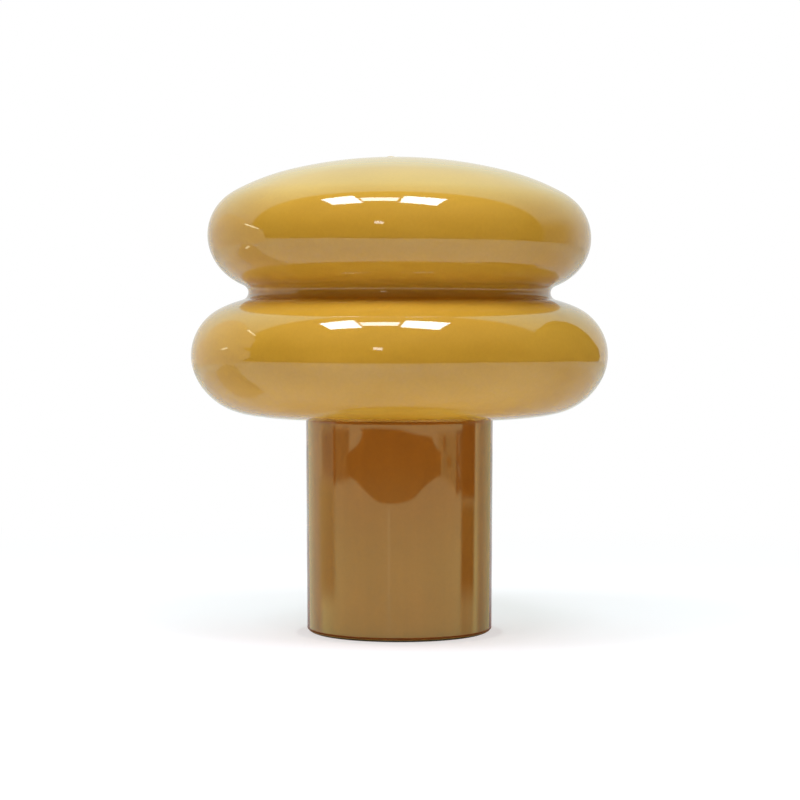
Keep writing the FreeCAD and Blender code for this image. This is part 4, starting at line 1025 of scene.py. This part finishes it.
overhead("panel_left", [(-0.80, -0.27), (-0.40, -0.24), (-0.427, -0.77), (-0.86, -0.73)], PANEL)
overhead("panel_right", [(0.06, -0.35), (0.49, -0.40), (0.505, -0.93), (0.011, -0.795)], PANEL)
overhead("panel_strip", [(-0.380, -0.41), (0.012, -0.46), (-0.015, -0.69), (-0.395, -0.64)], STRIP)
patch("far_window", [(-0.62, -2.5, 0.89), (-0.39, -2.5, 0.81), (-0.39, -2.5, 1.07), (-0.62, -2.5, 1.15)], [(0, 1, 2, 3)], glow("far_window", WINDOW), glossy=True, diffuse=True)

# ---- cards at the sides, which only mirror images show
for name, x, outline, colour in SIDE_CARDS:
    patch(name, [(x, yy * MM, zz * MM) for yy, zz in outline], [tuple(range(len(outline)))], glow(name, colour), glossy=True)


for k, outline in enumerate(GLINTS):
    patch("glint_%d" % k, [(-0.24, yy * MM, zz * MM) for yy, zz in outline], [(0, 1, 2, 3)], glow("glint_%d" % k, ((6.0, 6.0, 4.6), (3.4, 3.5, 2.8))[k]), glossy=True)


def flat_ring(name, inner, outer, z, colour, count=96):
    rim = [(q * math.cos(2 * math.pi * k / count), q * math.sin(2 * math.pi * k / count), z) for q in (inner, outer) for k in range(count)]
    faces = [(k, (k + 1) % count, count + (k + 1) % count, count + k) for k in range(count)]
    return patch(name, rim, faces, glow(name, colour), glossy=True, diffuse=True)


# a painted shadow of the lamp on the table at the left, seen only in mirror images
patch("painted_table_shadow", [(xx * MM, yy * MM, -0.0002) for xx, yy in PAINTED_TABLE_SHADOW], [tuple(range(len(PAINTED_TABLE_SHADOW)))], glow("painted_table_shadow", PAINTED_TABLE_SHADOW_TONE), glossy=True)
# painted contact shadow: a dark ring on the table round the foot, seen in mirror images and by soft light
flat_ring("painted_foot_shadow", 0.058, 0.0745, -0.0001, FOOT_SHADOW_TONE)


def coverage(outline, az, z, soft):
    """How far each point lies inside an outline, from 0 to 1, with its edge made soft."""
    total, weight = np.zeros(az.shape), 0.0
    for u in np.linspace(-1.6, 1.6, 7):
        for v in np.linspace(-1.6, 1.6, 7):
            k = math.exp(-0.5 * (u * u + v * v))
            a, h = az + u * soft[0], z + v * soft[1]
            hit = np.zeros(az.shape, bool)
            for i in range(len(outline)):
                (a0, z0), (a1, z1) = outline[i - 1], outline[i]
                if z0 != z1:
                    hit ^= ((z0 > h) != (z1 > h)) & (a < a0 + (a1 - a0) * (h - z0) / (z1 - z0))
            total += k * hit
            weight += k
    return total / weight


def ease(value, lo, hi):
    t = np.clip((value - lo) / (hi - lo), 0.0, 1.0)
    return (t * t * (3 - 2 * t))[:, None]


# ---- a curved card round the front of the base: pale, with the dark shapes of what stands in the room
def curved_card():
    radius, lo, hi = 0.075, -92.0, 92.0
    na, nz = 300, 130
    zz, az = [q.ravel() for q in np.meshgrid(np.linspace(0.6, 151.9, nz + 1), np.linspace(lo, hi, na + 1), indexing="ij")]
    turn = np.radians(az)
    verts = np.stack([radius * np.sin(turn), -radius * np.cos(turn), zz * MM], 1)
    faces = [(q, q + 1, q + na + 2, q + na + 1) for j in range(nz) for q in range(j * (na + 1), j * (na + 1) + na)]
    up = ease(zz, 45.0, 120.0)
    colour = (1 - up) * np.array(CARD_LOW) + up * np.array(CARD_HIGH)
    ends = np.where((az < 0)[:, None], np.array(CARD_LEFT_END), np.array(CARD_RIGHT_END))
    front = ease(np.cos(turn), 0.36, 0.507)
    colour = (1 - front) * ends + front * colour
    for outline, tone, soft in CARD_SHAPES:
        part = coverage(outline, az, zz, soft)[:, None]
        if tone is VASE:
            tone = (1 - ease(zz, 98.0, 128.0)) * np.array(VASE[0]) + ease(zz, 98.0, 128.0) * np.array(VASE[1])
        colour = (1 - part) * colour + part * np.array(tone)
    me = bpy.data.meshes.new("card_front")
    me.from_pydata(verts.tolist(), [], faces)
    me.materials.append(card_glow("card_pale"))
    layer = me.color_attributes.new("radiance", "FLOAT_COLOR", "POINT")
    layer.data.foreach_set("color", np.concatenate([colour, np.ones((len(colour), 1))], 1).astype(np.float32).ravel())
    ob = bpy.data.objects.new("card_front", me)
    SCENE.collection.objects.link(ob)
    ob.visible_camera = ob.visible_diffuse = ob.visible_shadow = ob.visible_transmission = False
    return ob


def lobe_card():
    """Follows the lower lobe at a distance of 4 mm."""
    _, r, z, a = shade_line()
    waist = int(np.argmin(np.where((z > 240) & (z < 290), r, 1e9)))
    rows = [i for i in range(waist, len(z), 6) if 190.0 < z[i] + 4.0 * math.cos(a[i]) < 275.0 and r[i] > 100.0][::-1]
    turn = np.radians(np.arange(20.0, 100.0, 0.5))
    verts = [((r[i] + 4.0 * math.sin(a[i])) * math.sin(t) * MM, -(r[i] + 4.0 * math.sin(a[i])) * math.cos(t) * MM, (z[i] + 4.0 * math.cos(a[i])) * MM) for i in rows for t in turn]
    wide = len(turn)
    faces = [(q, q + 1, q + wide + 1, q + wide) for j in range(len(rows) - 1) for q in range(j * wide, j * wide + wide - 1)]
    mid = np.array([np.mean([verts[k] for k in f], axis=0) for f in faces])
    inside = coverage(LOBE_SHAPE, np.degrees(np.arctan2(mid[:, 0], -mid[:, 1])), mid[:, 2] / MM, (0.0, 0.0)) > 0.5
    me = bpy.data.meshes.new("card_lobe")
    me.from_pydata(verts, [], [f for f, keep_it in zip(faces, inside) if keep_it])
    me.materials.append(card_glow("card_lobe", LOBE_TONE))
    ob = bpy.data.objects.new("card_lobe", me)
    SCENE.collection.objects.link(ob)
    ob.visible_camera = ob.visible_diffuse = ob.visible_shadow = ob.visible_transmission = False
    return ob


def card_glow(name, colour=None):
    """A card's glow, from its mesh unless a colour is given; only the side that faces the lamp shows."""
    m = bpy.data.materials.new(name)
    m.use_nodes = True
    t = m.node_tree
    t.nodes.clear()
    n = Nodes(t)
    out = n.add("ShaderNodeOutputMaterial")
    e = n.add("ShaderNodeEmission")
    if colour is None:
        n.feed(e.inputs["Color"], n.add("ShaderNodeVertexColor", layer_name="radiance").outputs["Color"])
    else:
        e.inputs["Color"].default_value = tuple(colour) + (1.0,)
    e.inputs["Strength"].default_value = 1.0
    clear = n.add("ShaderNodeBsdfTransparent")
    side = n.add("ShaderNodeNewGeometry").outputs["Backfacing"]
    mix = n.add("ShaderNodeMixShader")
    t.links.new(side, mix.inputs[0])
    t.links.new(clear.outputs[0], mix.inputs[1])
    t.links.new(e.outputs[0], mix.inputs[2])
    t.links.new(mix.outputs[0], out.inputs["Surface"])
    return m


lobe_card()
curved_card()

camera = bpy.data.cameras.new("camera")
camera.sensor_width = 36.0
camera.lens = 105.94
camera.clip_start = 0.01
camera.clip_end = 100.0
view = bpy.data.objects.new("camera", camera)
SCENE.collection.objects.link(view)
view.location = (0.0004, -1.695, 0.2172)
view.rotation_euler = (math.radians(90.0 - 1.703), 0.0, 0.0)
SCENE.camera = view

SCENE.view_settings.view_transform = "Standard"
SCENE.view_settings.look = "None"
SCENE.view_settings.exposure = 0.0
SCENE.view_settings.gamma = 1.0
